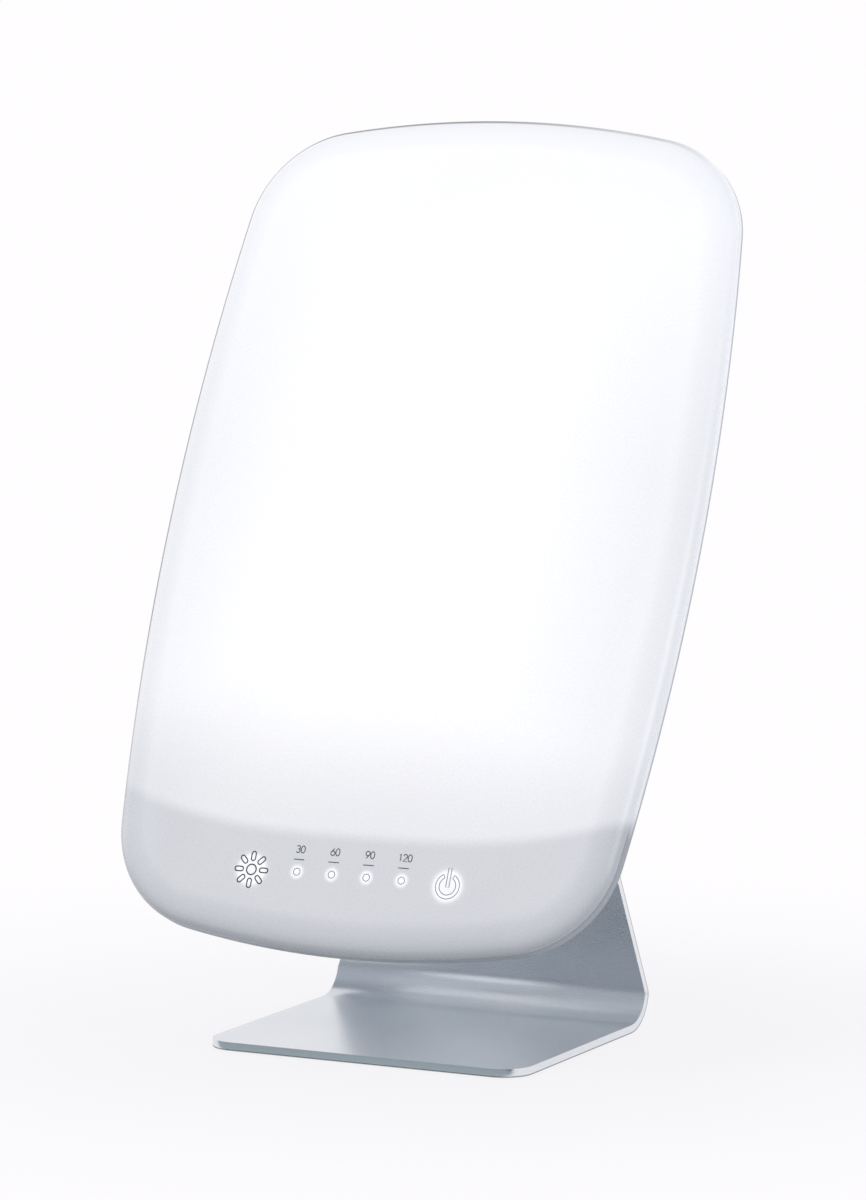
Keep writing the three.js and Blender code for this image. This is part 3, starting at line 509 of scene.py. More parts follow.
def housing_inside():
    draw_in = wall * math.hypot(1, flank_slope)
    knee = band_depth - wall
    back = housing_depth - wall
    bend = flank_depth - wall

    def flank_at(depth):
        return band_step + (depth - band_depth) * flank_slope + draw_in

    profile = [(wall, -wall), (wall, knee), (flank_at(knee), knee)]
    profile += back_bend(flank_at(bend), bend, flank_at(back), back)
    return lofted("housing_inside", [(rim_line(inset), depth) for inset, depth in profile])


def cut(body, tool):
    """Cuts a body with a tool, and clears the tool away."""
    step = body.modifiers.new("cut", "BOOLEAN")
    step.operation = "DIFFERENCE"
    step.solver = "EXACT"
    step.object = tool
    bpy.context.view_layer.update()
    done = bpy.data.meshes.new_from_object(body.evaluated_get(bpy.context.evaluated_depsgraph_get()))
    body.modifiers.clear()
    body.data = done
    bpy.data.objects.remove(tool)


def prisms(name, outlines, near, far):
    """Straight prisms from near to far in depth, over outlines of (x, height) points, to cut with."""
    shape = bmesh.new()
    for outline in outlines:
        front = [shape.verts.new((x, near, z)) for x, z in outline]
        back = [shape.verts.new((x, far, z)) for x, z in outline]
        shape.faces.new(front)
        shape.faces.new(back[::-1])
        join_loops(shape, back, front)
    bmesh.ops.recalc_face_normals(shape, faces=shape.faces)
    return in_scene(name, mesh_of(name, shape))


def set_mesh(mesh, place, sharp):
    """A mesh moved to its place and shaded smooth, but for edges over a turn."""
    mesh.transform(place)
    mesh.shade_smooth()
    mesh.set_sharp_from_angle(angle=sharp)
    return mesh


def set_body(body, place, sharp):
    """The mesh of a finished body, set in its place. The body is cleared away."""
    mesh = body.data
    bpy.data.objects.remove(body)
    return set_mesh(mesh, place, sharp)


def rounded_outline(x, z, width, height, radius, steps=6):
    """A rectangle with rounded corners about a middle."""
    points = []
    for quarter, (right, up) in enumerate(((1, 1), (-1, 1), (-1, -1), (1, -1))):
        middle_x = x + right * (width / 2 - radius)
        middle_z = z + up * (height / 2 - radius)
        for i in range(steps + 1):
            turn = math.pi / 2 * (quarter + i / steps)
            points.append((middle_x + radius * math.cos(turn), middle_z + radius * math.sin(turn)))
    return points


def circle(x, z, radius, steps=32):
    turns = [2 * math.pi * i / steps for i in range(steps)]
    return [(x + radius * math.cos(turn), z + radius * math.sin(turn)) for turn in turns]


def panel_box(node):
    """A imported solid's lowest and highest corners, measured along the panel's own axes."""
    back = panel_place.inverted()
    axes = list(zip(*(back @ vert.co for vert in frame["nodes"][node].data.vertices)))
    return Vector([min(axis) for axis in axes]), Vector([max(axis) for axis in axes])


vent_count = 9
vent_spacing = 0.009
vent_size = (0.003, 0.034)
vent_below_top = 0.0945
vent_over_foot = 0.0745
vent_corner = 0.0014
pillar_radius = 0.007
pillar_front = 0.0063
well_radius = 0.0041
screw_seat = 0.014
inlet_body = (0.0216, 0.0141)
inlet_corner = 0.0005
past = 0.01
case_sharp_edge = math.radians(32)

screw_nodes = [f"housing_screw_{i}" for i in range(1, 7)]
screw_boxes = [panel_box(node) for node in screw_nodes]
screw_middles = [((low.x + high.x) / 2, (low.z + high.z) / 2) for low, high in screw_boxes]
inlet_low, inlet_high = panel_box("power_inlet")
inlet_middle = ((inlet_low.x + inlet_high.x) / 2, (inlet_low.z + inlet_high.z) / 2)


def vent_outlines():
    heights = (panel_height / 2 - vent_below_top, vent_over_foot - panel_height / 2)
    places = [(i - (vent_count - 1) / 2) * vent_spacing for i in range(vent_count)]
    return [rounded_outline(x, z, *vent_size, vent_corner) for z in heights for x in places]


housing_room = in_scene("housing_room", housing_inside())
pillars = [circle(x, z, pillar_radius) for x, z in screw_middles]
cut(housing_room, prisms("pillars", pillars, pillar_front, housing_depth + past))
housing = in_scene("rear_housing_shell", housing_outside())
cut(housing, housing_room)
wells = [circle(x, z, well_radius) for x, z in screw_middles]
cut(housing, prisms("wells", wells, screw_seat, housing_depth + past))
cut(housing, prisms("vents", vent_outlines(), housing_depth - 2 * wall, housing_depth + past))
window = [rounded_outline(*inlet_middle, *inlet_body, inlet_corner)]
cut(housing, prisms("window", window, housing_depth - 2 * wall, housing_depth + past))
housing_mesh = set_body(housing, panel_place, case_sharp_edge)


def math_node(add):
    """A function that works out one operation on values or sockets."""
    def work(operation, *values):
        return add("Math", dict(enumerate(values)), operation=operation).outputs["Value"]

    return work


def panel_parts(add):
    """Where a point lies on the panel: the whole place, then across, depth and height."""
    stood_up = add("TexCoord").outputs["Object"]
    to_panel = {"Vector": stood_up, "Location": panel_place.translation, "Rotation": (-lean, 0, 0)}
    place = add("Mapping", to_panel, vector_type="TEXTURE").outputs["Vector"]
    parts = add("SeparateXYZ", {"Vector": place}).outputs
    return place, parts["X"], parts["Y"], parts["Z"]


light_border = 0.068
light_border_rise = 0.020
light_border_margin = 0.0165
light_border_power = 3.0
border_softness = 0.010


def over_border(add, across, height):
    """How far a point lies above the arched wall between the lit chamber and the touch strip."""
    work = math_node(add)
    rise_at = panel_width / 2 - light_border_margin
    share = work("DIVIDE", work("ABSOLUTE", across), rise_at)
    rise = work("MULTIPLY", work("POWER", share, light_border_power), light_border_rise)
    return work("SUBTRACT", work("SUBTRACT", height, rise), light_border - panel_height / 2)


case_white = (0.76, 0.765, 0.78, 1)
case_white_pale = (0.79, 0.795, 0.81, 1)
case_roughness = (0.40, 0.54)
case_grain_scale = 1400.0
case_grain_depth = 0.00003
band_painted_shade = (0.36, 0.375, 0.41, 1)
band_painted_glow = (0.95, 0.97, 1.0, 1)
band_painted_glow_levels = (0.11, 0.18)
band_painted_glow_heights = (-0.10, 0.10)
line_start = 0.0044
line_end = 0.0070
line_start_fade = 0.0006
line_end_fade = 0.0003
shade_line_by_strip = (0.34, 0.35, 0.37, 1)
shade_line_by_light = (0.50, 0.505, 0.52, 1)


def case_finish():
    """White blasted plastic. Its rim band has a painted glow beside the lit chamber and painted shade beside
    the strip, with a thin line of painted shade round its back edge.
    """
    material, add = blank_finish("blasted_case_plastic")
    work = math_node(add)
    place, across, depth, height = panel_parts(add)
    grain = noise(add, place, case_grain_scale)
    cloud = noise(add, place, cloud_scale, cloud_detail)
    white = ramp(add, cloud, case_white, case_white_pale, cloud_low, cloud_high)
    above_border = over_border(add, across, height)
    lit = spread(add, above_border, 0.0, 1.0, -border_softness, border_softness, "SMOOTHSTEP")
    # Painted shade: a thin grey line round the back of the rim band and its step, darker beside the strip.
    into_line = spread(add, depth, 0.0, 1.0, line_start - line_start_fade, line_start)
    out_of_line = spread(add, depth, 1.0, 0.0, line_end, line_end + line_end_fade)
    in_shade_line = work("MULTIPLY", into_line, out_of_line)
    in_band = work("SUBTRACT", 1.0, into_line)
    # Painted shade: the rim band turns grey beside the touch strip.
    band_shade_share = work("MULTIPLY", in_band, work("SUBTRACT", 1.0, lit))
    band_shaded = blend(add, band_shade_share, white, band_painted_shade)
    line_painted_shade = blend(add, lit, shade_line_by_strip, shade_line_by_light)
    # Painted glow: the white rim band gives off light beside the lit chamber, more towards the top.
    glow = spread(add, height, *band_painted_glow_levels, *band_painted_glow_heights)
    shaded(add, {
        "Base Color": blend(add, in_shade_line, band_shaded, line_painted_shade),
        "Roughness": spread(add, grain, *case_roughness, noise_low, noise_high),
        "Normal": relief(add, grain, grain_strength, case_grain_depth),
        "Emission Color": band_painted_glow,
        "Emission Strength": work("MULTIPLY", work("MULTIPLY", in_band, lit), glow),
    })
    return material


case_plastic = case_finish()
rear_shell = place_piece("rear_shell", housing_mesh, "lamp_head", "housing_plastic", case_plastic)
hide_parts("rear_housing")


# Screws
# Zinc-plated pan-head screws with a cross recess: four through the upright into the hinge bracket, four
# through the knuckle into the plate behind the housing's back, and six in the wells, which close the case.
head_height = 0.0022
head_dome = 0.0014
dome_steps = 6
dome_flat_share = 0.55
shank_share = 1.5 / 3.5
tip_share = 0.6
screw_sides = 28
recess_reach = 0.58
recess_width = 0.26
recess_depth = 0.0013
screw_sharp_edge = math.radians(35)


def cross_screw(node, box, place, body):
    """A screw in place of a packed one, in the same room: shank, domed head and the recess cut into it."""
    low, high = box
    x, z = (low.x + high.x) / 2, (low.z + high.z) / 2
    radius = (high.x - low.x) / 2
    shank = radius * shank_share
    tip = shank * tip_share
    flat = radius * dome_flat_share
    seat = high.y - head_height
    rings = [(tip, low.y), (shank, low.y + tip), (shank, seat), (radius, seat)]
    for i in range(dome_steps + 1):
        turn = math.pi / 2 * i / dome_steps
        rings.append((flat + (radius - flat) * math.cos(turn), high.y - head_dome * (1 - math.sin(turn))))
    skin = lofted(node, [(circle(x, z, ring, screw_sides), depth) for ring, depth in rings])
    screw = in_scene(node, skin)
    reach, half = radius * recess_reach, radius * recess_width / 2
    for wide, tall in ((reach, half), (half, reach)):
        bar = [(x + wide, z - tall), (x + wide, z + tall), (x - wide, z + tall), (x - wide, z - tall)]
        cut(screw, prisms("recess", [bar], high.y - recess_depth, high.y + past))
    mesh = set_body(screw, place, screw_sharp_edge)
    piece = place_piece(f"cross_{node}", mesh, body, "screw_steel", plated)
    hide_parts(node)


for i in range(1, 5):
    cross_screw(f"bracket_screw_{i}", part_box(f"bracket_screw_{i}"), Matrix(), "stand")
    cross_screw(f"knuckle_screw_{i}", panel_box(f"knuckle_screw_{i}"), panel_place, "lamp_head")
for node, box in zip(screw_nodes, screw_boxes):
    cross_screw(node, box, panel_place, "lamp_head")


# Front cover
# A seamless shell moulded in opal acrylic: a lightly crowned face with a soft shoulder all round. Lamps light
# it from behind down to an arched wall. Below that it is printed grey inside, as the touch strip.
seam = 0.0003
shoulder_width = 0.022
shoulder_depth = 0.012
shoulder_steps = 18
crown = 0.005
crown_shares = (0.12, 0.26, 0.4, 0.52, 0.63, 0.73, 0.81, 0.87, 0.92, 0.96)
cover_edge_round = 0.0004
cover_sharp_edge = math.radians(40)


def crown_depth(share, offset=0.0):
    """The crowned face's depth at a share of the way from its middle to the shoulder."""
    return offset - shoulder_depth - crown * (1 - share**2)


def cover_rings(offset, first_turn):
    """Rings from near the crown's middle out to the rim, on the outer skin drawn in by an offset."""
    edge = rim_line(shoulder_width)
    rings = []
    for share in crown_shares:
        rings.append(([(x * share, z * share) for x, z in edge], crown_depth(share, offset)))
    for i in range(shoulder_steps, -1, -1):
        turn = first_turn + (math.pi / 2 - first_turn) * i / shoulder_steps
        inset = offset + (shoulder_width - offset) * (1 - math.cos(turn))
        depth = -seam - (shoulder_depth - seam - offset) * math.sin(turn)
        rings.append((rim_line(inset), depth))
    return rings


def cover_shell():
    """Both skins of the cover, joined round the rim."""
    first_turn = math.asin(cover_edge_round / (shoulder_depth - seam))
    outer = cover_rings(0.0, first_turn)
    for i in range(1, round_steps + 1):
        turn = math.pi / 2 * i / round_steps
        inset = cover_edge_round * (1 - math.cos(turn))
        outer.append((rim_line(inset), -seam - cover_edge_round * (1 - math.sin(turn))))
    inner = cover_rings(wall, 0.0)[::-1]
    skins = lofted("opal_shell", outer + inner, (crown_depth(0), crown_depth(0, wall)))
    return set_mesh(skins, panel_place, cover_sharp_edge)


strip_height = 0.0447
indicator_spacing = 0.0226
key_reach = 0.0636
key_drop = 0.0009
strip_z = strip_height - panel_height / 2
key_z = strip_z - key_drop

chamber_foot_light = 0.57
chamber_full_light = 0.100
side_fade_starts = (0.0, 0.030)
side_fade_ends = (0.066, 0.115)
side_fade_turn = 0.05
side_lights = (0.81, 0.75)
side_light_turn = 0.12
side_light_heights = (0.04, 0.20)
light_softness = 0.12
lamp_strength = 0.43
lamp_white = (1.0, 0.985, 1.0, 1)
lamp_cool = (0.955, 0.965, 0.995, 1)


def lamplight(add, across, height, lit):
    """The lamps' light on the cover: a level that fades towards the arched wall and the sides, and a tint."""
    work = math_node(add)
    above_border = over_border(add, across, height)
    rising = spread(add, above_border, chamber_foot_light, 1.0, 0.0, chamber_full_light, "SMOOTHSTEP")
    side_bow = work("DIVIDE", work("MULTIPLY", height, height), 2 * side_arc)
    from_side = work("SUBTRACT", panel_width / 2, work("ADD", work("ABSOLUTE", across), side_bow))
    fade_start = spread(add, across, *side_fade_starts, -side_fade_turn, side_fade_turn)
    fade_end = spread(add, across, *side_fade_ends, -side_fade_turn, side_fade_turn)
    inward = spread(add, from_side, 0.0, 1.0, fade_start, fade_end)
    low_side = spread(add, across, *side_lights, -side_light_turn, side_light_turn)
    at_side = spread(add, height, low_side, 1.0, *side_light_heights)
    beside = spread(add, inward, at_side, 1.0)
    level = work("MULTIPLY", lit, work("SMOOTH_MIN", rising, beside, light_softness))
    return level, blend(add, inward, lamp_cool, lamp_white)


ring_halo = (0.0022, 0.0056)
key_halo = 0.0148
key_halo_start = 0.85
key_halo_shares = ((0.24, 0.85), (0.50, 1.0), (0.64, 0.55), (0.78, 0.08))
mark_strength = 0.34


def mark_glow(add, across, height):
    """The white glow round the four rings and the two keys."""
    work = math_node(add)

    def distance(sideways, over):
        return work("SQRT", work("ADD", work("POWER", sideways, 2.0), work("POWER", over, 2.0)))

    reach = work("ABSOLUTE", across)
    folded = work("PINGPONG", work("ADD", across, indicator_spacing), indicator_spacing)
    from_ring = work("SUBTRACT", folded, indicator_spacing / 2)
    ring_reach = distance(from_ring, work("SUBTRACT", height, strip_z))
    ring_glow = spread(add, ring_reach, 1.0, 0.0, *ring_halo, "SMOOTHSTEP")
    between_keys = work("LESS_THAN", reach, 2 * indicator_spacing)
    key_span = distance(work("SUBTRACT", reach, key_reach), work("SUBTRACT", height, key_z))
    key_glow = add("FloatCurve", {"Value": spread(add, key_span, 0.0, 1.0, 0.0, key_halo)})
    curve = key_glow.mapping.curves[0]
    curve.points[0].location = (0.0, key_halo_start)
    curve.points[-1].location = (1.0, 0.0)
    for spot in key_halo_shares:
        curve.points.new(*spot)
    key_glow.mapping.update()
    return work("ADD", work("MULTIPLY", ring_glow, between_keys), key_glow.outputs["Value"])


opal_white = (0.615, 0.61, 0.62, 1)
strip_grey = (0.70, 0.70, 0.715, 1)
strip_painted_light = (0.785, 0.79, 0.81, 1)
strip_painted_light_span = (-0.160, -0.120)
mottle_grey = (0.97, 0.97, 0.98, 1)
mottle_scale = 7.0
white = (1, 1, 1, 1)
black = (0, 0, 0, 1)
edge_painted_shade = (0.37, 0.39, 0.43, 1)
edge_depth = 0.0125
lit_edge_shade_share = 0.34
foot_edge_shade_share = 0.76
foot_edge_heights = (-0.245, -0.200)
strip_edge_shade_shares = (0.05, 0.55)
strip_edge_span = (-0.12, 0.13)
shoulder_painted_shade = 0.80
shoulder_shade_depths = (-0.0072, -0.0056)
shoulder_shade_heights = (-0.235, -0.06)
shoulder_shade_foot = 0.1
shoulder_shade_middle = (-0.02, 0.08)
shoulder_shade_right = (0.100, 0.138)
opal_roughness = (0.24, 0.32)
opal_grain_scale = 900.0
opal_relief = (0.2, 0.00002)
acrylic_ior = 1.49


def opal_acrylic():
    """Opal plastic with the lamps' light behind it, the grey touch strip and the glow round its marks, with
    painted shade and painted light on its shoulder.
    """
    material, add = blank_finish("opal_acrylic")
    work = math_node(add)
    place, across, depth, height = panel_parts(add)
    above_border = over_border(add, across, height)
    lit = spread(add, above_border, 0.0, 1.0, -border_softness / 2, border_softness / 2, "SMOOTHSTEP")
    light_level, tint = lamplight(add, across, height, lit)

    # Painted light: the touch strip is paler at its far left edge.
    painted_light_share = spread(add, across, 1.0, 0.0, *strip_painted_light_span)
    behind = blend(add, lit, blend(add, painted_light_share, strip_grey, strip_painted_light), opal_white)
    # Painted shade: the shoulder greys towards the rim, lightly beside the lit chamber, most at the foot, and
    # more on the strip's right than its left.
    edge_shade_by_depth = spread(add, depth, 0.0, 1.0, -edge_depth, 0.0, "SMOOTHSTEP")
    strip_edge_shade = spread(add, across, *strip_edge_shade_shares, *strip_edge_span)
    low_edge_shade = spread(add, height, foot_edge_shade_share, strip_edge_shade, *foot_edge_heights)
    edge_shade_share = work("MULTIPLY", edge_shade_by_depth, add("Mix", {0: lit, 2: low_edge_shade, 3: lit_edge_shade_share}).outputs[0])
    edge_shaded = blend(add, edge_shade_share, behind, edge_painted_shade)
    cloud = noise(add, place, mottle_scale, detail=2.0)
    mottle = ramp(add, cloud, mottle_grey, white)
    even = blend(add, 1.0, edge_shaded, mottle, "MULTIPLY")

    # Painted shade: a dark band across the shoulder dims both colour and lamplight, strongest on the left and
    # along the top, fading to the right and towards the foot.
    shade = spread(add, depth, 0.0, shoulder_painted_shade, *shoulder_shade_depths, "SMOOTHSTEP")
    shade = work("MULTIPLY", shade, spread(add, across, 1.0, 0.5, *shoulder_shade_middle))
    shade = work("MULTIPLY", shade, spread(add, across, 1.0, 0.0, *shoulder_shade_right))
    shade = work("MULTIPLY", shade, spread(add, height, shoulder_shade_foot, 1.0, *shoulder_shade_heights))
    from_lamps = work("MULTIPLY", light_level, work("SUBTRACT", 1.0, shade))
    from_marks = work("MULTIPLY", mark_glow(add, across, height), mark_strength)
    fine = noise(add, place, opal_grain_scale)
    shaded(add, {
        "Base Color": blend(add, shade, even, black),
        "Roughness": spread(add, fine, *opal_roughness, noise_low, noise_high),
        "Normal": relief(add, fine, *opal_relief),
        "IOR": acrylic_ior,
        "Emission Color": tint,
        "Emission Strength": work("ADD", work("MULTIPLY", from_lamps, lamp_strength), from_marks),
    })
    return material


opal_cover = place_piece("opal_cover", cover_shell(), "lamp_head", "opal_cover", opal_acrylic())
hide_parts("front_cover")


# Printed marks
# Fine grey and black lines screen printed on the strip: a sun for the left key, four rings headed 30, 60,
# 90 and 120 with a short rule between, and the power mark for the right key. White light glows behind them.
mark_lift = 0.00006
mark_root = 0.0002
line_width = 0.00048
digit_width = 0.00052
digit_step = 0.74
edge_turns = sorted((math.atan2(z, x), math.hypot(x, z)) for x, z in rim_line(shoulder_width))


def cover_surface(x, z):
    """The depth of the cover's crowned face at a place on the panel."""
    turn = math.atan2(z, x)
    before, after = edge_turns[0], edge_turns[-1]
    for near, far in zip(edge_turns, edge_turns[1:]):
        if near[0] <= turn <= far[0]:
            before, after = near, far
            break
    share = (turn - before[0]) / (after[0] - before[0])
    edge = before[1] + (after[1] - before[1]) * share
    return crown_depth(min(1.0, math.hypot(x, z) / edge))


def arc(x, z, radius, start, end, steps=28, squeeze=1.0):
    """Points on an arc, between two turns in degrees, narrowed across by squeeze."""
    turns = [math.radians(start + (end - start) * i / steps) for i in range(steps + 1)]
    return [(x + radius * squeeze * math.cos(turn), z + radius * math.sin(turn)) for turn in turns]


def ribbon(shape, points, width, closed=False):
    """Adds a printed line of an even width along points, a thin bar let into the cover's surface."""
    rows = []
    count = len(points)
    for i, point in enumerate(points):
        before = points[(i - 1) % count] if closed or i > 0 else point
        after = points[(i + 1) % count] if closed or i < count - 1 else point
        along = Vector((after[0] - before[0], after[1] - before[1])).normalized()
        side = Vector((-along.y, along.x)) * width / 2
        row = []
        for sign, sink in ((1, -mark_lift), (-1, -mark_lift), (-1, mark_root), (1, mark_root)):
            x, z = point[0] + sign * side.x, point[1] + sign * side.y
            row.append(shape.verts.new((x, cover_surface(x, z) + sink, z)))
        rows.append(row)
    pairs = list(zip(rows, rows[1:])) + ([(rows[-1], rows[0])] if closed else [])
    for near, far in pairs:
        join_loops(shape, near, far)
    if not closed:
        shape.faces.new(rows[0])
        shape.faces.new(rows[-1][::-1])


def digit_lines(digit):
    """The lines of a digit, about its middle, in units of its height."""
    nought = arc(0, 0, 0.5, 0, 360, squeeze=0.6)
    six = [arc(0, -0.19, 0.31, 0, 360), [(-0.27, -0.04), (0.17, 0.5)]]
    return {
        "0": [nought],
        "1": [[(-0.16, 0.34), (0.04, 0.5), (0.04, -0.5)]],
        "2": [arc(0, 0.22, 0.28, 170, -38) + [(-0.30, -0.5), (0.31, -0.5)]],
        "3": [arc(0, 0.25, 0.25, 160, -90), arc(0, -0.22, 0.28, 90, -160)],
        "6": six,
        "9": [[(-x, -z) for x, z in line] for line in six],
    }[digit]


def print_number(shape, text, x, z, height):
    """Adds a number about a middle, digit by digit."""
    for i, digit in enumerate(text):
        left = x + (i - (len(text) - 1) / 2) * digit_step * height
        for line in digit_lines(digit):
            ribbon(shape, [(left + u * height, z + v * height) for u, v in line], digit_width)


def printed(name, shape, ink):
    """Places printed lines on the panel as one piece."""
    bmesh.ops.recalc_face_normals(shape, faces=shape.faces)
    mesh = mesh_of(name, shape)
    mesh.transform(panel_place)
    place_piece(name, mesh, "lamp_head", None, ink)


ink_grain = {"rough": 0.5, "grain": 0.0002, "depth": 0.000005}
mark_ink = moulded("mark_ink", (0.20, 0.205, 0.215, 1), (0.25, 0.255, 0.265, 1), **ink_grain)
number_ink = moulded("number_ink", (0.025, 0.026, 0.028, 1), (0.04, 0.042, 0.045, 1), **ink_grain)

ring_radius = 0.0021
number_height = 0.0042
number_over_ring = 0.0134
rule_over_ring = 0.0073
rule_half = 0.0034
rings = bmesh.new()
numbers = bmesh.new()
for number, share in zip(("30", "60", "90", "120"), (-1.5, -0.5, 0.5, 1.5)):
    ring_x = share * indicator_spacing
    ribbon(rings, arc(ring_x, strip_z, ring_radius, 0, 360)[:-1], line_width, closed=True)
    print_number(numbers, number, ring_x, strip_z + number_over_ring, number_height)
    rule_z = strip_z + rule_over_ring
    ribbon(numbers, [(ring_x - rule_half, rule_z), (ring_x + rule_half, rule_z)], digit_width)
printed("indicator_rings", rings, mark_ink)
printed("numbers", numbers, number_ink)

power_outer = 0.0075
power_inner = 0.0052
power_gap = 28
power_steps = 56
bar_half = 0.0010
bar_top = 0.0106
bar_foot = -0.0007
power = bmesh.new()
outer_line = arc(key_reach, key_z, power_outer, 90 + power_gap, 450 - power_gap, power_steps)
inner_line = arc(key_reach, key_z, power_inner, 450 - power_gap, 90 + power_gap, power_steps)
ribbon(power, outer_line + inner_line, line_width, closed=True)
bar = [(-bar_half, bar_foot), (bar_half, bar_foot), (bar_half, bar_top), (-bar_half, bar_top)]
ribbon(power, [(key_reach + x, key_z + z) for x, z in bar], line_width, closed=True)
printed("power_mark", power, mark_ink)

sun_radius = 0.0031
sun_line = 1.6 * line_width
ray_line = 1.5 * line_width
ray_count = 8
ray_start = 0.0053
ray_end = 0.0108
ray_half = 0.00135
ray_end_steps = 8
sun = bmesh.new()
ribbon(sun, arc(-key_reach, key_z, sun_radius, 0, 360)[:-1], sun_line, closed=True)
for i in range(ray_count):
    turn = 2 * math.pi * i / ray_count
    outward = Vector((math.cos(turn), math.sin(turn)))
    aside = Vector((-outward.y, outward.x))
    near = arc(ray_start + ray_half, 0, ray_half, 90, 270, ray_end_steps)
    far = arc(ray_end - ray_half, 0, ray_half, -90, 90, ray_end_steps)
    ray = [outward * u + aside * v for u, v in near + far]
    ribbon(sun, [(p.x - key_reach, p.y + key_z) for p in ray], ray_line, closed=True)
printed("sun_mark", sun, number_ink)


# Inside the head
# White enamelled reflector, twin-tube lamps in their caps and sockets, ballast and control boards, touch
# contacts, light pipes and leads. They stay as packed, each in its own finish.

# Deep and pale colour, roughness, grain size and depth, and for some metal and coat.
inside_finishes = {
    "reflector_enamel": ((0.80, 0.80, 0.79, 1), (0.84, 0.84, 0.83, 1), 0.35, 0.0012, 0.00003),
    "lamp_glass": ((0.82, 0.82, 0.80, 1), (0.88, 0.88, 0.86, 1), 0.2, 0.0008, 0.00001, 0.0, 1.0),
    "cap_plastic": ((0.70, 0.69, 0.64, 1), (0.76, 0.75, 0.70, 1), 0.45, 0.0006, 0.00003),
    "clear_acrylic": ((0.66, 0.69, 0.71, 1), (0.74, 0.77, 0.79, 1), 0.12, 0.0009, 0.00001, 0.0, 1.0),
    "solder_mask": ((0.02, 0.09, 0.04, 1), (0.04, 0.14, 0.07, 1), 0.4, 0.0009, 0.00004),
    "black_plastic": ((0.012, 0.012, 0.014, 1), (0.025, 0.025, 0.028, 1), 0.42, 0.0005, 0.00004),
    "lead_sheath": ((0.62, 0.62, 0.61, 1), (0.70, 0.70, 0.69, 1), 0.5, 0.0008, 0.00003),
    "copper_foil": ((0.55, 0.30, 0.18, 1), (0.66, 0.38, 0.24, 1), 0.3, 0.0008, 0.00003, 1.0),
    "turned_brass": ((0.60, 0.47, 0.20, 1), (0.70, 0.56, 0.27, 1), 0.25, 0.0006, 0.00001, 1.0),
}
inside_nodes = {
    "reflector_enamel": ["reflector_tray"],
    "lamp_glass": [f"lamp_tube_{i}" for i in range(1, 4)],
    "cap_plastic": [f"lamp_{part}_{i}" for part in ("cap", "socket") for i in range(1, 4)],
    "clear_acrylic": [f"tube_clip_{i}" for i in range(1, 4)] + [f"light_pipe_{i}" for i in range(1, 5)],
    "solder_mask": ["ballast_board", "control_board"],
    "black_plastic": ["ballast_choke", "ballast_capacitor", "power_inlet", "mains_lead"],
    "lead_sheath": ["lamp_harness", "control_ribbon"],
    "copper_foil": ["touch_contact_1", "touch_contact_2"],
    "turned_brass": ["inlet_pin_1", "inlet_pin_2"],
}
for name, values in inside_finishes.items():
    give(moulded(name, *values), *inside_nodes[name])
give(case_plastic, "light_baffle")
give(plated, "socket_rail")


# Studio
# A pale floor that runs out to a white background, two large soft lamps in front and two low ones behind,
# cards seen only in gloss as painted reflections for the metal, and a camera where the photographer stood.
backdrop_white = (1.0, 0.985, 1.0, 1)
floor_reach = 14.0
floor_squares = 8
floor_deep = (0.79, 0.79, 0.80, 1)
floor_grey = (0.80, 0.80, 0.81, 1)
floor_grain_scale = 60.0
shadow_share = 0.20
shadow_start = 0.15
shadow_end = 0.62


def seen_white(add):
    """One for rays from the camera, from gloss or through clear plastic, and nought for others."""
    work = math_node(add)
    rays = add("LightPath").outputs
    seen = work("MAXIMUM", rays["Is Camera Ray"], rays["Is Glossy Ray"])
    return work("MAXIMUM", seen, rays["Is Transmission Ray"])


def studio_floor():
    """The floor shows white to the camera and to polished metal, and keeps a share of the lamp's shadow."""
    material, add = blank_finish("studio_floor")
    place = add("TexCoord").outputs["Object"]
    far = add("VectorMath", {0: place}, operation="LENGTH").outputs["Value"]
    grain = noise(add, place, floor_grain_scale)
    colour = ramp(add, grain, floor_deep, floor_grey)
    matt = add("BsdfDiffuse", {"Color": colour}).outputs[0]
    bright = add("Emission", {"Color": backdrop_white, "Strength": 1.0}).outputs[0]
    share = spread(add, far, 1.0 - shadow_share, 1.0, shadow_start, shadow_end, "SMOOTHSTEP")
    seen = math_node(add)("MULTIPLY", seen_white(add), share)
    add("OutputMaterial", {"Surface": add("MixShader", {0: seen, 1: matt, 2: bright}).outputs[0]})
    return material


floor_shape = bmesh.new()
bmesh.ops.create_grid(floor_shape, x_segments=floor_squares, y_segments=floor_squares, size=floor_reach)
floor = in_scene("studio_floor", mesh_of("studio_floor", floor_shape))
floor.data.materials.append(studio_floor())

room_light = 0.62
room_colour = (0.90, 0.94, 1.0, 1)
world = bpy.data.worlds.new("studio_room")
world.use_nodes = True
bpy.context.scene.world = world
add_to_room = node_adder(world.node_tree)
room = add_to_room("Background", {"Color": room_colour, "Strength": room_light}).outputs[0]
backdrop = add_to_room("Background", {"Color": backdrop_white, "Strength": 1.0}).outputs[0]
either = add_to_room("MixShader", {0: seen_white(add_to_room), 1: room, 2: backdrop})
add_to_room("OutputWorld", {"Surface": either.outputs[0]})

look_at = Vector((0.0, 0.0, 0.27))
warm_light = (1.0, 0.99, 0.98)
cool_light = (0.97, 0.98, 1.0)


def soft_lamp(name, place, size, watts, colour, mirrored=True):
    """An area lamp aimed at the panel. Gloss and metal mirror it, or only its light falls on them."""
    light = bpy.data.lights.new(name, "AREA")
    light.shape = "RECTANGLE"
    light.size, light.size_y = size
    light.energy = watts
    light.color = colour
    lamp = in_scene(name, light)
    lamp.location = place
    lamp.rotation_euler = (look_at - Vector(place)).to_track_quat("-Z", "Y").to_euler()
    lamp.visible_glossy = mirrored


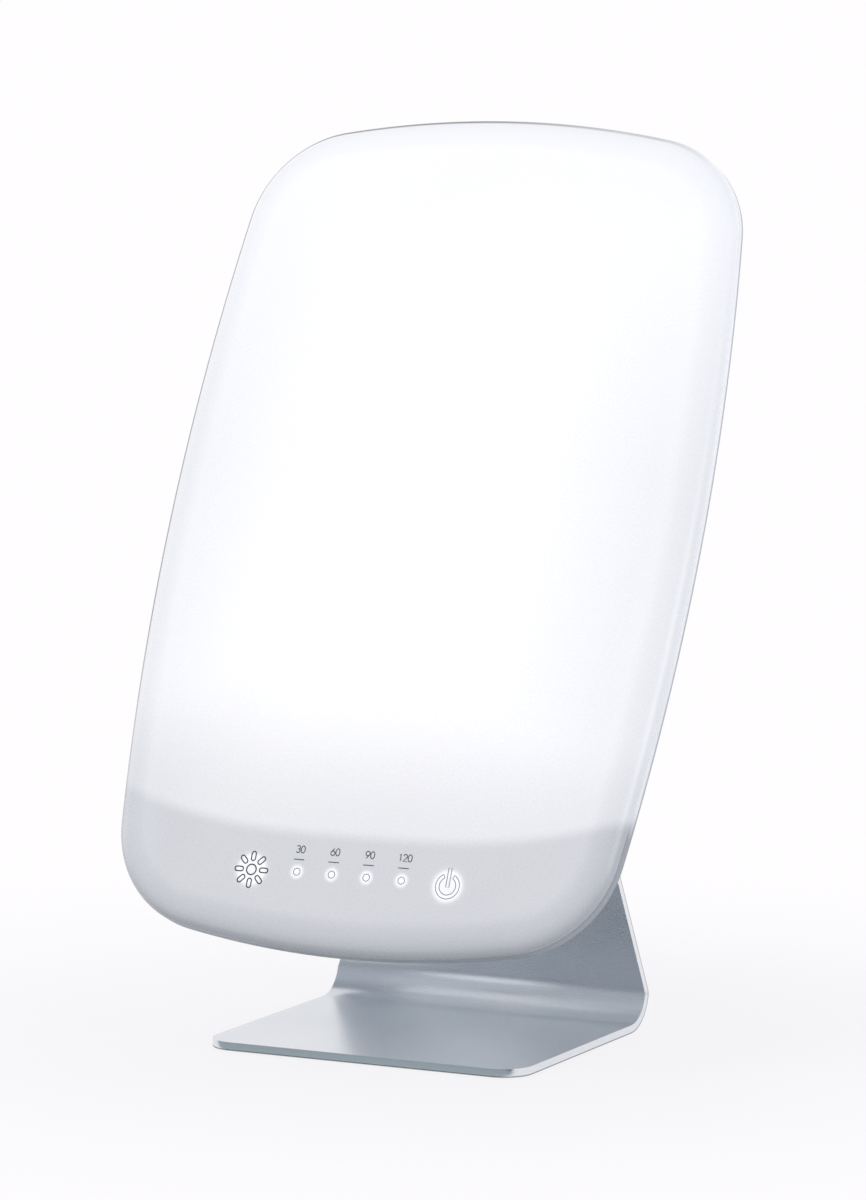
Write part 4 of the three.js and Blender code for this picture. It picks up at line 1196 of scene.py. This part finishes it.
soft_lamp("key_lamp", (-0.95, -2.15, 1.9), size=(1.6, 1.6), watts=24, colour=warm_light)
soft_lamp("fill_lamp", (2.3, -0.9, 0.9), size=(1.2, 1.2), watts=12, colour=cool_light)
soft_lamp("left_back_lamp", (-1.0, 1.15, 0.14), (0.7, 0.3), 9, cool_light, mirrored=False)
soft_lamp("right_back_lamp", (0.9, 1.2, 0.14), (0.7, 0.3), 5, cool_light, mirrored=False)


def painted_reflection_card(name, rows, colour, strength=1.0):
    """A card through rows of two points, which only polished surfaces see: a painted reflection."""
    shape = bmesh.new()
    rows = [[shape.verts.new(point) for point in row] for row in rows]
    for near, far in zip(rows, rows[1:]):
        shape.faces.new((near[0], near[1], far[1], far[0]))
    card = in_scene(name, mesh_of(name, shape))
    material, add = blank_finish(name)
    bright = add("Emission", {"Color": colour, "Strength": strength}).outputs[0]
    add("OutputMaterial", {"Surface": bright})
    card.data.materials.append(material)
    for sight in ("camera", "diffuse", "shadow", "transmission", "volume_scatter"):
        setattr(card, f"visible_{sight}", False)


# The largest card, a dark painted reflection, bends over the lamp from the front, out of the camera's sight.
card_span = (-1.6, 0.7)
card_front = -0.36
card_height = 1.1
card_steps = 24
card_end = 0.75 * math.pi
card_lift = 0.0006
arch = []
for i in range(card_steps + 1):
    turn = card_end * i / card_steps
    y = card_front * math.cos(turn)
    z = card_lift + card_height * math.sin(turn)
    arch.append([(x, y, z) for x in card_span])
painted_reflection_card("grey_arch", arch, (0.215, 0.25, 0.31, 1))

# Painted reflections: three lie on the floor, before the upright and beside the cut edges, and a small bright
# one lies over the bend.
level_cards = (
    ("dark_card", card_span, (card_front, -0.112), card_lift, (0.025, 0.038, 0.078, 1)),
    ("front_edge_card", (-0.35, 0.11), (-0.150, -0.1035), 2 * card_lift, (0.36, 0.42, 0.44, 1)),
    ("side_edge_card", (0.2, 1.2), (0.28, 1.6), 2 * card_lift, (0.62, 0.66, 0.68, 1)),
    ("bend_card", (-0.105, -0.005), (0.022, 0.066), 0.105, (0.80, 0.81, 0.85, 1)),
)
for name, across, along, level, colour in level_cards:
    painted_reflection_card(name, [[(x, y, level) for x in across] for y in along], colour)

# A last painted reflection stands under the panel's foot, and is a little brighter than white.
under_span = (-0.118, -0.036)
under_y = -0.075
under_heights = (0.045, 0.077)
under_rows = [[(x, under_y, z) for x in under_span] for z in under_heights]
painted_reflection_card("under_card", under_rows, (0.95, 0.96, 1.0, 1), strength=1.4)

camera_turn = math.radians(26.797)
camera_rise = math.radians(7.069)
camera_distance = 3.413
camera_target = Vector((0.0487, -0.102, 0.2746))
camera_lens = 179.64
film_height = 36.0
camera_sight = 60.0
away = Vector((
    math.sin(camera_turn) * math.cos(camera_rise),
    -math.cos(camera_turn) * math.cos(camera_rise),
    math.sin(camera_rise),
))
camera_data = bpy.data.cameras.new("camera")
camera_data.sensor_fit = "VERTICAL"
camera_data.sensor_height = film_height
camera_data.lens = camera_lens
camera_data.clip_end = camera_sight
camera = in_scene("camera", camera_data)
camera.location = camera_target + away * camera_distance
camera.rotation_euler = (-away).to_track_quat("-Z", "Y").to_euler()
bpy.context.scene.camera = camera
bpy.context.scene.view_settings.view_transform = "Standard"
